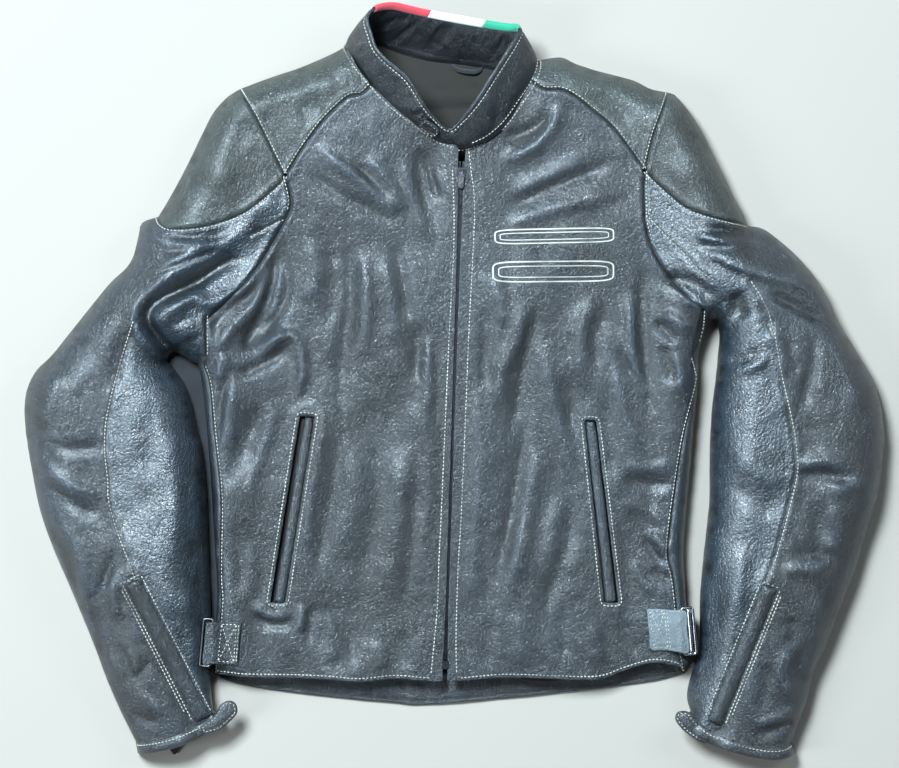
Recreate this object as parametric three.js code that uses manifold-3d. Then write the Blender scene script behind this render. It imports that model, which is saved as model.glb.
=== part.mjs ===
// Leather riding jacket lying flat on its back, front face up.
// Millimetres. +Z up, +Y towards the collar, +X towards the wearer's left.
// "right" and "left" are the wearer's. The outside of the back rests on z = 0.
import * as THREE from 'three';
import { mergeVertices } from 'three/addons/utils/BufferGeometryUtils.js';
import Module from 'manifold-3d';

const wasm = await Module();
wasm.setup();

// ---------------------------------------------------------------- driving dimensions
const LEATHER = 1.6;          // torso leather
const SLEEVE_SKIN = 2.2;      // sleeve leather with its lining
const SEAM = 0.4;             // half of the gap left at each seam
const ZIP_TOP = [11.5, 219];  // upper end of the front zip
const ZIP_END = [-5, -290];   // lower end of the front zip
const ZIP_HALF = 3.9;         // half the opening between the two front edges

// draped surface
const GRID = 34;              // facet size
const GRID_X = -510;          // grid corner
const GRID_Y = -442;
const GRID_COLUMNS = 30;
const GRID_ROWS = 26;
const EDGE_Z = 20;            // height of the rolled edge where front meets back
const EDGE_RUN = 55;          // distance over which the top rises to full height
const Z_HEM = 30;             // height of the front at the hem
const Z_NECK = 46;            // height of the front at the top of the zip
const Z_SLEEVE = 58;          // height of the sleeve over the elbow
const Z_CUFF = 44;            // height of the sleeve at the cuff
const MID_X = 4;              // middle of the torso
const SLEEVE_FROM = 190;      // distance from the middle where torso height gives way
const SLEEVE_BLEND = 90;      // width over which it becomes sleeve height
const CUFF_Y = -370;          // where the sleeve starts to rise
const CUFF_RISE = 190;        // length over which it rises

// ---------------------------------------------------------------- colours and finishes
const NAVY = 0x3a444d;
const OLIVE = 0x4b504b;
const DARK = 0x20242a;
const LINING = 0x2a2722;
const GUN = 0x3b3a40;

const FINISH = {
  navy: { color: NAVY, roughness: 0.45 },
  navyMatt: { color: NAVY, roughness: 0.5 },
  navySmooth: { color: NAVY, roughness: 0.42 },
  olive: { color: OLIVE, roughness: 0.5 },
  grey: { color: 0x6d747b, roughness: 0.5 },
  dark: { color: DARK, roughness: 0.5 },
  sidePanel: { color: DARK, roughness: 0.55 },
  facing: { color: DARK, roughness: 0.6 },
  hanger: { color: DARK, roughness: 0.7 },
  tape: { color: DARK, roughness: 0.8 },
  lining: { color: LINING, roughness: 0.9 },
  collarLining: { color: LINING, roughness: 0.7 },
  binding: { color: 0xc8c4b8, roughness: 0.8 },
  foam: { color: 0x2e3033, roughness: 0.85 },
  steel: { color: 0x8f9296, roughness: 0.3, metalness: 0.9 },
  gunmetal: { color: GUN, roughness: 0.4, metalness: 0.8 },
  slider: { color: GUN, roughness: 0.35, metalness: 0.85 },
  cuffChain: { color: GUN, roughness: 0.5, metalness: 0.6 },
  pull: { color: 0x2c2433, roughness: 0.45, metalness: 0.3 },
};

// ---------------------------------------------------------------- seam and edge lines
// Every line is a list of plan points [x, y]. sign is the side's direction along x.
const SIDES = {
  right: {
    sign: -1,
    neckYoke: [[-104,340],[-99.5,330],[-91,314],[-79,298]],      // neckline, outer part
    neckFront: [[-61,281],[-44,268],[-29,257],[-12,245]],        // neckline, on to the zip
    yoke: [[-79,298],[-88,289],[-98,287.5],[-108,281],[-128,261],[-147.5,234.5],[-164,208]],
    armUpper: [[-164,208],[-169,216],[-177.3,233],[-191,261],[-201.4,279.3],[-212,296]],
    armLower: [
      [-164,208],[-159,185],[-160,173],[-166,161],[-174,146],[-186,126],[-202,104],[-220,84],
      [-236,69],[-243,64],
    ],
    cap: [
      [-164,208],[-168,202],[-181,190],[-202,173.2],[-227,162],[-252,156],[-277,155],
      [-288.4,160],[-293,168.2],
    ],
    shoulder: [[-104,340],[-118,332],[-150,318],[-180,308],[-212,296]],
    capEdge: [
      [-212,296],[-225,287],[-238,272],[-250,249],[-262,224],[-275,199],[-287,178],[-293,168.2],
    ],
    outer: [                                                     // outer edge of the sleeve
      [-293,168.2],[-309,162],[-313,149],[-318,129],[-326,116],[-341,102],[-360,79],[-380,54],
      [-400,29],[-416,13],[-425,-6],[-427.5,-28],[-425,-56],[-420,-86],[-412,-126],[-400,-161],
      [-385,-196],[-371,-229],[-358,-261],[-345,-296],[-331,-328],[-315,-360],
    ],
    cuffSeam: [
      [-315,-360],[-298,-357],[-281,-353],[-267,-348],[-254,-342.6],[-244,-337],[-237,-329],
    ],
    inner: [                                                     // inner edge of the sleeve
      [-237,-329],[-238.5,-316],[-240,-296],[-240,-244],[-240.5,-213],[-242.5,-161],
      [-244.5,-108],[-249,-66],[-253.5,-48],[-259.5,-21],[-266,-2],[-275.5,13],[-284,24],
    ],
    under: [[-284,24],[-278,32],[-268,28],[-260,23],[-253,20]],  // under the arm
    flank: [                                                     // side edge of the torso
      [-253,20],[-249,-1],[-245,-37],[-241,-86],[-238,-134],[-235.5,-176],[-233.5,-207],
      [-235,-236],[-237,-290],
    ],
    seam: [                                                      // front to side panel
      [-243,64],[-243,29],[-246,18],[-240,-3],[-236,-49],[-231,-90.5],[-229,-122],[-230,-161],
      [-230.5,-194],[-229,-216],[-231,-241],[-234,-266],[-237,-290],
    ],
    hem: [
      [-237,-290],[-202,-293],[-154,-293.8],[-122,-295],[-91,-297.5],[-56,-294.5],
      [-27,-296.5],[-8,-297.5],
    ],
  },
  left: {
    sign: 1,
    neckYoke: [[87,325],[82,302]],
    neckFront: [[69,281],[53,259],[35.5,245],[19,239]],
    yoke: [
      [82,302],[94,294.2],[111,293.4],[124.6,287],[142.9,273],[162.8,256],[179,234.5],[194,213],
    ],
    armUpper: [[194,213],[196.8,225],[202.6,248],[210.9,271],[219,293]],
    armLower: [
      [194,213],[193.4,195],[193.6,179],[194.5,162],[200,139],[210,119],[224,100],[240,84],
      [253,73],
    ],
    cap: [[194,213],[212.5,195],[232,178.2],[249,170],[274,163.2],[298,159]],
    shoulder: [
      [87,325],[111,328],[124.6,322.4],[143,316],[166,310],[186,304.2],[202.6,296],[219,293],
    ],
    capEdge: [
      [219,293],[226,290],[236,279.3],[249,261],[260.6,238],[272,215],[282,193],
      [290.5,178.2],[298,159],
    ],
    outer: [
      [298,159],[314,156],[330,145],[349,128],[364,111],[375.5,94],[387,69],[398,50],[412,27],
      [425,4],[433,-23],[436,-52],[434,-84],[431,-106],[426.7,-124],[416,-157],[405,-193],
      [390,-232],[379,-261],[366,-291],[358,-321],[343,-360],
    ],
    cuffSeam: [
      [343,-360],[332,-363.5],[320,-364],[306,-362],[293,-359],[281,-355.5],[270.6,-352],
      [259,-347],[250,-340],[242,-330],
    ],
    inner: [
      [242,-330],[238,-316],[239,-304],[244,-286],[250,-268],[251,-252],[251,-216],[254,-179],
      [258,-142],[260.5,-114],[261,-65],[263,-26],[266.5,2],[268.5,22],[270.5,50],[267,63],
    ],
    under: [[267,63],[263,65],[258,58],[253,44],[249,29]],
    flank: [
      [249,29],[249,2],[245,-39],[241.6,-80],[237.6,-120.5],[234.5,-161],[236,-202],
      [238,-231],[238,-261],[236,-288],
    ],
    seam: [
      [253,73],[248,49],[243,27],[247,14],[247.5,0],[234.5,-49],[226,-100],[218,-165],
      [223,-192],[226,-216],[230,-256],[236,-288],
    ],
    hem: [
      [236,-288],[226,-281.5],[203,-278.5],[174,-286.5],[148,-295],[101,-294.3],
      [53,-293.3],[8,-297],[-2,-297.5],
    ],
  },
};
const BACK_NECK = [
  [87,325],[70,320],[45,315],[15,315],[-10,318],[-40,324],[-70,332],[-104,340],
];
const BACK_HEM = [
  [-237,-292],[-220,-300],[-186,-307],[-122,-315],[-59,-321],[-27,-323],[37,-318],
  [133,-308.6],[196,-300.6],[231,-293],[236,-290],
];
const { right, left } = SIDES;

// ---------------------------------------------------------------- plan helpers
const reversed = (line) => line.slice().reverse();
// lines run end to end; each one after the first gives up its first point
const joined = (...lines) => lines.flatMap((line, k) => (k ? line.slice(1) : line));
const distance = (a, b) => Math.hypot(a[0] - b[0], a[1] - b[1]);

function area(outline) {
  let sum = 0;
  for (let i = 0; i < outline.length; i++) {
    const a = outline[i];
    const b = outline[(i + 1) % outline.length];
    sum += a[0] * b[1] - b[0] * a[1];
  }
  return sum / 2;
}

// closed outline without points closer together than the tolerance
function clean(outline, tolerance = 0.8) {
  const kept = [];
  for (const point of outline) {
    if (!kept.length || distance(point, kept.at(-1)) > tolerance) kept.push(point);
  }
  while (kept.length > 3 && distance(kept[0], kept.at(-1)) <= tolerance) kept.pop();
  return kept;
}

// cleaned outline, anticlockwise
function tidied(outline) {
  const kept = clean(outline);
  return area(kept) < 0 ? reversed(kept) : kept;
}

// closed outline moved inwards by gap (outwards when gap is negative)
function inset(outline, gap) {
  const points = tidied(outline);
  const count = points.length;
  return points.map((point, i) => {
    const before = points[(i + count - 1) % count];
    const after = points[(i + 1) % count];
    const lengthIn = distance(point, before);
    const lengthOut = distance(after, point);
    const dirIn = [(point[0] - before[0]) / lengthIn, (point[1] - before[1]) / lengthIn];
    const dirOut = [(after[0] - point[0]) / lengthOut, (after[1] - point[1]) / lengthOut];
    const sum = [-(dirIn[1] + dirOut[1]), dirIn[0] + dirOut[0]];
    const size = Math.hypot(...sum) || 1;
    const miter = [sum[0] / size, sum[1] / size];
    // the limit keeps sharp corners from running far out
    const cosHalf = Math.max(0.45, miter[0] * -dirIn[1] + miter[1] * dirIn[0]);
    return [point[0] + miter[0] * gap / cosHalf, point[1] + miter[1] * gap / cosHalf];
  });
}

// open line moved sideways (to its left when offset is positive)
function shift(line, offset) {
  return line.map((point, i) => {
    const before = line[Math.max(0, i - 1)];
    const after = line[Math.min(line.length - 1, i + 1)];
    const dir = [after[0] - before[0], after[1] - before[1]];
    const length = Math.hypot(...dir);
    return [point[0] - dir[1] / length * offset, point[1] + dir[0] / length * offset];
  });
}

// outline between two sideways offsets of a line
const ribbon = (line, from, to) => [...shift(line, from), ...reversed(shift(line, to))];

function segmentDistance(p, a, b) {
  const dx = b[0] - a[0];
  const dy = b[1] - a[1];
  const along = ((p[0] - a[0]) * dx + (p[1] - a[1]) * dy) / (dx * dx + dy * dy);
  const t = Math.min(1, Math.max(0, along));
  return Math.hypot(p[0] - a[0] - t * dx, p[1] - a[1] - t * dy);
}

function isInside(p, outline) {
  let result = false;
  for (let i = 0, j = outline.length - 1; i < outline.length; j = i++) {
    const a = outline[i];
    const b = outline[j];
    const crosses = (a[1] > p[1]) !== (b[1] > p[1])
      && p[0] < (b[0] - a[0]) * (p[1] - a[1]) / (b[1] - a[1]) + a[0];
    if (crosses) result = !result;
  }
  return result;
}

function circle(centre, radius, count = 56) {
  return Array.from({ length: count }, (_, i) => {
    const angle = i / count * Math.PI * 2;
    return [centre[0] + radius * Math.cos(angle), centre[1] + radius * Math.sin(angle)];
  });
}

// ellipse of 20 points, sheared by skew
function skewedEllipse({ centre, radii, skew }) {
  return Array.from({ length: 20 }, (_, i) => {
    const angle = i / 20 * Math.PI * 2;
    const c = Math.cos(angle);
    const s = Math.sin(angle);
    return [
      centre[0] + radii[0] * c + skew[0] * s,
      centre[1] + radii[1] * s + skew[1] * c,
    ];
  });
}

// ---------------------------------------------------------------- front zip line
const zipShare = (y) => (y - ZIP_END[1]) / (ZIP_TOP[1] - ZIP_END[1]);
const zipX = (y) => ZIP_END[0] + (ZIP_TOP[0] - ZIP_END[0]) * zipShare(y);
const zipHeight = (y) => Z_HEM + (Z_NECK - Z_HEM) * zipShare(y);

// outline beside the zip line, between two distances from it
function zipStrip(sign, near, far, yLow, yHigh) {
  return tidied([
    [zipX(yLow) + sign * near, yLow],
    [zipX(yLow) + sign * far, yLow],
    [zipX(yHigh) + sign * far, yHigh],
    [zipX(yHigh) + sign * near, yHigh],
  ]);
}

// ---------------------------------------------------------------- draped surface
const sleeveEdge = (s) => joined(s.shoulder, s.capEdge, s.outer, s.cuffSeam, s.inner);
const wholeOutline = clean(joined(
  sleeveEdge(right), right.under, right.flank, right.hem,
  reversed(left.hem), reversed(left.flank), reversed(left.under), reversed(sleeveEdge(left)),
  BACK_NECK,
));
const rolledEdges = [right, left].flatMap((s) => [
  s.shoulder, s.capEdge, s.outer, s.inner, s.under, s.flank,
]);

function drape(x, y) {
  let reach = 1e9;
  for (const edge of rolledEdges) {
    for (let i = 0; i + 1 < edge.length; i++) {
      reach = Math.min(reach, segmentDistance([x, y], edge[i], edge[i + 1]));
    }
  }
  // neckline and hem are open, so the surface does not roll down beyond them
  if (!isInside([x, y], wholeOutline) && y < 240 && y > -280) reach = -reach;
  const sleeve = Math.min(1, Math.max(0, (Math.abs(x - MID_X) - SLEEVE_FROM) / SLEEVE_BLEND));
  const rise = Math.min(1, Math.max(0, (y - CUFF_Y) / CUFF_RISE));
  const sleeveHeight = Z_CUFF + (Z_SLEEVE - Z_CUFF) * rise;
  const full = zipHeight(y) * (1 - sleeve) + sleeveHeight * sleeve;
  const u = reach / EDGE_RUN;
  let share = 1;
  if (u < 0) share = Math.max(-0.3, 1.4 * u);
  else if (u < 1) share = 1 - (1 - u) * (1 - u);
  return EDGE_Z + (full - EDGE_Z) * share;
}

const nodeHeights = [];
for (let j = 0; j <= GRID_ROWS; j++) {
  for (let i = 0; i <= GRID_COLUMNS; i++) {
    nodeHeights.push(drape(GRID_X + i * GRID, GRID_Y + j * GRID));
  }
}
const nodeHeight = (i, j) => nodeHeights[j * (GRID_COLUMNS + 1) + i];

// height of the faceted draped surface
function surfaceHeight(x, y) {
  const column = (x - GRID_X) / GRID;
  const row = (y - GRID_Y) / GRID;
  const i = Math.floor(column);
  const j = Math.floor(row);
  const u = column - i;
  const v = row - j;
  const a = nodeHeight(i, j);
  const b = nodeHeight(i + 1, j);
  const c = nodeHeight(i + 1, j + 1);
  const d = nodeHeight(i, j + 1);
  return u >= v ? a + (b - a) * u + (c - b) * v : a + (c - d) * u + (d - a) * v;
}

// ---------------------------------------------------------------- solids
function toManifold(geometry) {
  geometry.deleteAttribute('normal');
  geometry.deleteAttribute('uv');
  const merged = mergeVertices(geometry, 1e-4);
  const mesh = new wasm.Mesh({
    numProp: 3,
    vertProperties: new Float32Array(merged.attributes.position.array),
    triVerts: new Uint32Array(merged.index.array),
  });
  mesh.merge();
  return new wasm.Manifold(mesh);
}

function geometryFrom(positions, indices) {
  const geometry = new THREE.BufferGeometry();
  geometry.setAttribute('position', new THREE.Float32BufferAttribute(positions, 3));
  geometry.setIndex(indices);
  return geometry;
}

const union = (solids) => solids.reduce((whole, solid) => whole.add(solid));

// grid block covering an outline; low and high give the height at grid node (i, j)
function block(outline, low, high) {
  const xs = outline.map((p) => p[0]);
  const ys = outline.map((p) => p[1]);
  const i0 = Math.floor((Math.min(...xs) - GRID_X) / GRID);
  const i1 = Math.ceil((Math.max(...xs) - GRID_X) / GRID);
  const j0 = Math.floor((Math.min(...ys) - GRID_Y) / GRID);
  const j1 = Math.ceil((Math.max(...ys) - GRID_Y) / GRID);
  const nx = i1 - i0;
  const ny = j1 - j0;
  const positions = [];
  for (const height of [low, high]) {
    for (let j = j0; j <= j1; j++) {
      for (let i = i0; i <= i1; i++) {
        positions.push(GRID_X + i * GRID, GRID_Y + j * GRID, height(i, j));
      }
    }
  }
  const indices = [];
  const quad = (a, b, c, d) => indices.push(a, b, c, a, c, d);
  const bottom = (i, j) => j * (nx + 1) + i;
  const top = (i, j) => (nx + 1) * (ny + 1) + bottom(i, j);
  for (let j = 0; j < ny; j++) {
    for (let i = 0; i < nx; i++) {
      quad(top(i, j), top(i + 1, j), top(i + 1, j + 1), top(i, j + 1));
      indices.push(bottom(i, j), bottom(i + 1, j + 1), bottom(i + 1, j));
      indices.push(bottom(i, j), bottom(i, j + 1), bottom(i + 1, j + 1));
    }
  }
  for (let i = 0; i < nx; i++) {
    quad(bottom(i, 0), bottom(i + 1, 0), top(i + 1, 0), top(i, 0));
    quad(bottom(i + 1, ny), bottom(i, ny), top(i, ny), top(i + 1, ny));
  }
  for (let j = 0; j < ny; j++) {
    quad(bottom(nx, j), bottom(nx, j + 1), top(nx, j + 1), top(nx, j));
    quad(bottom(0, j + 1), bottom(0, j), top(0, j), top(0, j + 1));
  }
  return toManifold(geometryFrom(positions, indices));
}

function prism(outline, z0 = -20, z1 = 120) {
  const shape = new THREE.Shape(outline.map(([x, y]) => new THREE.Vector2(x, y)));
  const options = { depth: z1 - z0, bevelEnabled: false, steps: 1 };
  const geometry = new THREE.ExtrudeGeometry(shape, options);
  geometry.translate(0, 0, z0);
  return toManifold(geometry);
}

// depths are measured down from the draped surface; a negative depth lies above it
const atDepth = (depth) => (i, j) => nodeHeight(i, j) - depth;

// layer that follows the draped surface on both faces
const sheet = (outline, bottomDepth, topDepth) =>
  block(outline, atDepth(bottomDepth), atDepth(topDepth)).intersect(prism(outline));

// body from a flat floor up to the draped surface
const filled = (outline, floorZ, topDepth) =>
  block(outline, () => floorZ, atDepth(topDepth)).intersect(prism(outline));

// closed four-point rings joined into one solid, capped at both ends
function loft(rings) {
  const count = 4;
  const indices = [];
  for (let k = 0; k + 1 < rings.length; k++) {
    for (let i = 0; i < count; i++) {
      const a = k * count + i;
      const b = k * count + (i + 1) % count;
      const c = a + count;
      const d = b + count;
      // the inner face is split along the other diagonal
      if (i === 2) indices.push(a, b, c, b, d, c);
      else indices.push(a, b, d, a, d, c);
    }
  }
  const last = (rings.length - 1) * count;
  for (let i = 1; i + 1 < count; i++) {
    indices.push(0, i + 1, i, last, last + i, last + i + 1);
  }
  return toManifold(geometryFrom(rings.flat(2), indices));
}

function rod(from, to, radius) {
  const start = new THREE.Vector3(...from);
  const end = new THREE.Vector3(...to);
  const along = end.clone().sub(start);
  const geometry = new THREE.CylinderGeometry(radius, radius, along.length(), 8);
  const yAxis = new THREE.Vector3(0, 1, 0);
  const turn = new THREE.Quaternion().setFromUnitVectors(yAxis, along.clone().normalize());
  geometry.applyQuaternion(turn);
  geometry.translate(...start.add(end).multiplyScalar(0.5).toArray());
  return toManifold(geometry);
}

function ball(centre, radius) {
  const geometry = new THREE.SphereGeometry(radius, 8, 4);
  geometry.translate(...centre);
  return toManifold(geometry);
}

// local frame turned by yaw about z, then tilted by pitch about its own x (radians)
const tiltedFrame = (origin, yaw, pitch) => new THREE.Matrix4()
  .makeRotationFromEuler(new THREE.Euler(pitch, 0, yaw, 'ZXY'))
  .setPosition(...origin);

function boxIn(frame, size, centre = [0, 0, 0]) {
  const geometry = new THREE.BoxGeometry(...size);
  geometry.translate(...centre);
  geometry.applyMatrix4(frame);
  return toManifold(geometry);
}

// ---------------------------------------------------------------- group
const jacket = new THREE.Group();

// adds the largest connected part of a solid
function add(name, solid, finish) {
  const parts = solid.decompose().filter((part) => part.volume() > 1);
  parts.sort((a, b) => b.volume() - a.volume());
  const { vertProperties, triVerts } = parts[0].getMesh();
  const geometry = geometryFrom(vertProperties, Array.from(triVerts));
  geometry.computeVertexNormals();
  const material = new THREE.MeshStandardMaterial({ ...finish, flatShading: true });
  const mesh = new THREE.Mesh(geometry, material);
  mesh.name = name;
  jacket.add(mesh);
}

// adds name_right and name_left; build receives the side's name and its lines
function addPair(name, finish, build) {
  for (const key of ['right', 'left']) add(`${name}_${key}`, build(key, SIDES[key]), finish);
}

// ---------------------------------------------------------------- torso front
addPair('front_panel', FINISH.navy, (key, side) => {
  const edgeX = (y) => zipX(y) + side.sign * ZIP_HALF;
  const outline = [
    ...joined(side.yoke, side.armLower, side.seam, side.hem.slice(0, -1)),
    [edgeX(-297), -297],
    [edgeX(238), 238],
    ...reversed(side.neckFront),
  ];
  return sheet(inset(outline, SEAM), LEATHER, 0);
});

// wall of leather just inside an edge line, down to the back
function edgeWall(line, sign) {
  const strip = clean(ribbon(line, -sign * SEAM, -sign * (SEAM + LEATHER)), 0.2);
  return filled(strip, 2.6, 0);
}

// yokes: top skin and the wall that rolls over the shoulder to the back
addPair('shoulder_yoke', FINISH.olive, (key, side) => {
  const shoulder = side.shoulder.slice(1);
  const outline = joined(side.neckYoke, side.yoke, side.armUpper, reversed(shoulder));
  const skin = inset(outline, SEAM);
  const wall = edgeWall(shoulder, side.sign).intersect(prism(tidied(skin)));
  return sheet(skin, LEATHER, 0).add(wall);
});

// side panels: from the side seam round the edge down to the back
const sidePanelOutlines = {
  right: joined(right.seam.slice(1), reversed(right.flank)),
  left: joined(left.seam, reversed(left.flank), reversed(left.under.slice(1))),
};
addPair('side_panel', FINISH.sidePanel, (key, side) => {
  const skin = inset(sidePanelOutlines[key], SEAM);
  return sheet(skin, LEATHER, 0).add(edgeWall(side.flank, side.sign).intersect(prism(skin)));
});

// ---------------------------------------------------------------- torso back
const BACK_SPLIT = 190;       // seam between lower panel and yoke
const backOutline = inset([
  ...joined(right.shoulder, reversed(right.armUpper), right.armLower),
  right.seam[1],
  ...right.flank,
  ...BACK_HEM.slice(1, -1),
  ...reversed(left.flank),
  ...joined(
    reversed(left.armLower), left.armUpper, reversed(left.shoulder), BACK_NECK.slice(0, -1),
  ),
], SEAM + 0.3);

function backPart(y0, y1) {
  const slab = prism([[-500, y0], [500, y0], [500, y1], [-500, y1]], -5, 80);
  return prism(backOutline, 0, LEATHER).intersect(slab);
}
add('back_panel', backPart(-400, BACK_SPLIT - SEAM), FINISH.navyMatt);
add('back_yoke', backPart(BACK_SPLIT + SEAM, 400), FINISH.olive);

// band along the inside of the back hem
const hemFacing = [
  [-228, -262], [-228, -296], [-186, -304.5], [-122, -312.5], [-59, -318.5], [-27, -320.5],
  [37, -315.5], [133, -306], [196, -298], [226, -291], [226, -262],
];
add('back_hem_facing', prism(tidied(hemFacing), 2.2, 3.6), FINISH.facing);

// back protector: flat foam plate, a rounded shape wider towards the shoulders
const protectorOutline = Array.from({ length: 28 }, (_, i) => {
  const angle = i / 28 * Math.PI * 2;
  const s = Math.sin(angle);
  const c = Math.cos(angle);
  return [
    Math.sign(c) * Math.pow(Math.abs(c), 0.7) * (125 + 25 * s),
    -10 + Math.sign(s) * Math.pow(Math.abs(s), 0.8) * 185,
  ];
});
add('back_protector', prism(protectorOutline, 2.4, 13.6), FINISH.foam);

// ---------------------------------------------------------------- linings and facings
const liningBack = inset([
  right.seam[1],
  ...right.flank.slice(0, -2),
  [-215, -258], [215, -258],
  ...reversed(left.flank).slice(2),
  [214, 92], [188, 150], [180, 205], [190, 270], [84, 306], [45, 300], [-40, 302],
  [-98, 316], [-182, 280], [-150, 200], [-162, 150], [-205, 92],
], 12);
add('lining_back', prism(liningBack, 14.4, 15.2), FINISH.lining);

const LINING_FROM_ZIP = 46;   // front linings stop this far from the zip line
const liningFronts = {
  right: [
    [-92, 270], [-112, 258], [-150, 205], [-142, 165], [-178, 118], [-220, 62], [-220, 0],
    [-208, -100], [-205, -262], [-46, -266],
    [zipX(-262) - LINING_FROM_ZIP, -262], [zipX(220) - LINING_FROM_ZIP, 225], [-58, 262],
  ],
  left: [
    [84, 268], [112, 262], [168, 205], [172, 150], [196, 90], [222, 40], [222, -20],
    [200, -120], [200, -250],
    [zipX(-262) + LINING_FROM_ZIP, -262], [zipX(220) + LINING_FROM_ZIP, 225], [62, 250],
  ],
};
addPair('lining_front', FINISH.lining, (key) => sheet(tidied(liningFronts[key]), 7.6, 6.8));
// leather facing behind each front edge
addPair('zip_facing', FINISH.facing, (key, { sign }) =>
  sheet(zipStrip(sign, 5, 44, -284, 222), 6.4, 5));

// ---------------------------------------------------------------- front zip
addPair('zip_tape', FINISH.tape, (key, { sign }) =>
  sheet(zipStrip(sign, 0.6, 15, -288, 222), 3.4, 2.5));
addPair('zip_teeth', FINISH.gunmetal, (key, { sign }) =>
  sheet(zipStrip(sign, 0.35, 2.7, -276, 214), 2.1, -0.3));

const END_BOX_X = zipX(-281);
const END_BOX_HALF = 3.2;
const endBox = [
  [END_BOX_X - END_BOX_HALF, -286], [END_BOX_X + END_BOX_HALF, -286],
  [END_BOX_X + END_BOX_HALF, -277], [END_BOX_X - END_BOX_HALF, -277],
];
add('zip_end_box', sheet(tidied(endBox), 2.1, -1.6), FINISH.gunmetal);

// slider and pull are set out in a frame on the zip line: y up the zip, z off the jacket
const SLIDER_Y = 208;
const zipRun = ZIP_TOP[1] - ZIP_END[1];
const sliderFrame = tiltedFrame(
  [zipX(SLIDER_Y), SLIDER_Y, zipHeight(SLIDER_Y)],
  Math.atan2(ZIP_END[0] - ZIP_TOP[0], zipRun),
  Math.atan2(Z_NECK - Z_HEM, zipRun),
);
const sliderBox = ([centre, size]) => boxIn(sliderFrame, size, centre);

function sliderPlate() {
  const wedge = new THREE.Shape([
    [-4.6, 6], [-3.2, 8], [3.2, 8], [4.6, 6], [3.4, -7], [2.4, -8], [-2.4, -8], [-3.4, -7],
  ].map(([x, y]) => new THREE.Vector2(x, y)));
  const geometry = new THREE.ExtrudeGeometry(wedge, { depth: 1.2, bevelEnabled: false });
  geometry.translate(0, 0, 0.8);
  geometry.applyMatrix4(sliderFrame);
  return toManifold(geometry);
}
// bridge over the plate: [centre, size] of two posts and the bar across them
const sliderBridge = [
  [[-1.5, 5.2, 3.0], [1.0, 2.4, 2.6]],
  [[1.5, 5.2, 3.0], [1.0, 2.4, 2.6]],
  [[0, 5.2, 4.4], [4.0, 2.4, 0.9]],
];
add('zip_slider', union([sliderPlate(), ...sliderBridge.map(sliderBox)]), FINISH.slider);
// [centre, size] of the eye, its neck, the tag hanging down the zip and the tag's end
const pullBoxes = [
  [[0, 2.0, 3.1], [1.8, 1.4, 1.2]],
  [[0, 0.2, 3.4], [1.4, 3.0, 0.9]],
  [[0, -8, 3.5], [4.6, 14, 1.1]],
  [[0, -16.5, 3.5], [3.4, 5, 0.9]],
];
add('zip_pull', union(pullBoxes.map(sliderBox)), FINISH.pull);

// ---------------------------------------------------------------- sleeves
const ELBOW_RADIUS = 93;      // radius of the cut between upper sleeve and forearm
const ELBOW_GAP = 0.9;        // gap left round that cut
const FOREARM_TOP = -75;      // the forearm takes everything below this
const SLEEVES = {
  right: {
    elbow: [-338, -31],       // elbow hinge
    forearmX: [-470, -200],   // range that holds the forearm
    underarm: [[-243, 29], ...reversed(right.under)],
    // hollow: entry line under the arm, corners beyond the cuff, corners inside the torso
    hollowEntry: [[-215, 30], [-243, 29], [-253, 20], [-268, 26]],
    beyondCuff: [[-226, -395], [-312, -420]],
    insideTorso: [[-195, 282], [-150, 250], [-130, 190], [-150, 120]],
  },
  left: {
    elbow: [350, -31],
    forearmX: [200, 480],
    underarm: [[258, 69], [263, 65], [267, 63]],
    hollowEntry: [[215, 70], [253, 71]],
    beyondCuff: [[232, -395], [338, -420]],
    insideTorso: [[205, 282], [175, 250], [160, 190], [165, 120]],
  },
};

function sleeveShell(side, sleeve) {
  const outline = inset([
    ...joined(reversed(side.armUpper), side.armLower),
    ...joined(
      sleeve.underarm, reversed(side.inner), reversed(side.cuffSeam), reversed(side.outer),
      reversed(side.capEdge.slice(1)),
    ),
  ], SEAM);
  // moved in from the free edges, run out through armhole and cuff
  const offset = side.sign * (SLEEVE_SKIN + SEAM);
  const innerLine = shift([...sleeve.hollowEntry, ...reversed(side.inner)], offset);
  const outerLine = shift(joined(reversed(side.outer), reversed(side.capEdge)), offset);
  const hollow = tidied([
    ...innerLine.slice(1), ...sleeve.beyondCuff, ...outerLine, ...sleeve.insideTorso,
    innerLine[0],
  ]);
  return filled(outline, 0, 0).subtract(filled(hollow, SLEEVE_SKIN, SLEEVE_SKIN));
}

// everything below the hinge plus the rounded end over it
function forearmRegion({ elbow, forearmX: [x0, x1] }, radius, top) {
  const box = [[x0, top], [x1, top], [x1, -440], [x0, -440]];
  return prism(circle(elbow, radius)).add(prism(box));
}

function addSleeve(key) {
  const side = SIDES[key];
  const sleeve = SLEEVES[key];
  const shell = sleeveShell(side, sleeve);
  const cap = joined(side.cap, reversed(side.capEdge), reversed(side.armUpper.slice(1)));
  const upper = shell
    .subtract(forearmRegion(sleeve, ELBOW_RADIUS + ELBOW_GAP, FOREARM_TOP + 1))
    .subtract(prism(inset(cap, -SEAM), 2.5, 120));
  const capShell = shell.intersect(prism(inset(cap, SEAM), 2.9, 120));
  const forearm = shell.intersect(forearmRegion(sleeve, ELBOW_RADIUS, FOREARM_TOP));
  add(`upper_sleeve_${key}`, upper, FINISH.navy);
  add(`shoulder_cap_${key}`, capShell, FINISH.olive);
  add(`forearm_sleeve_${key}`, forearm, FINISH.navySmooth);
}
addSleeve('right');
addSleeve('left');

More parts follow.
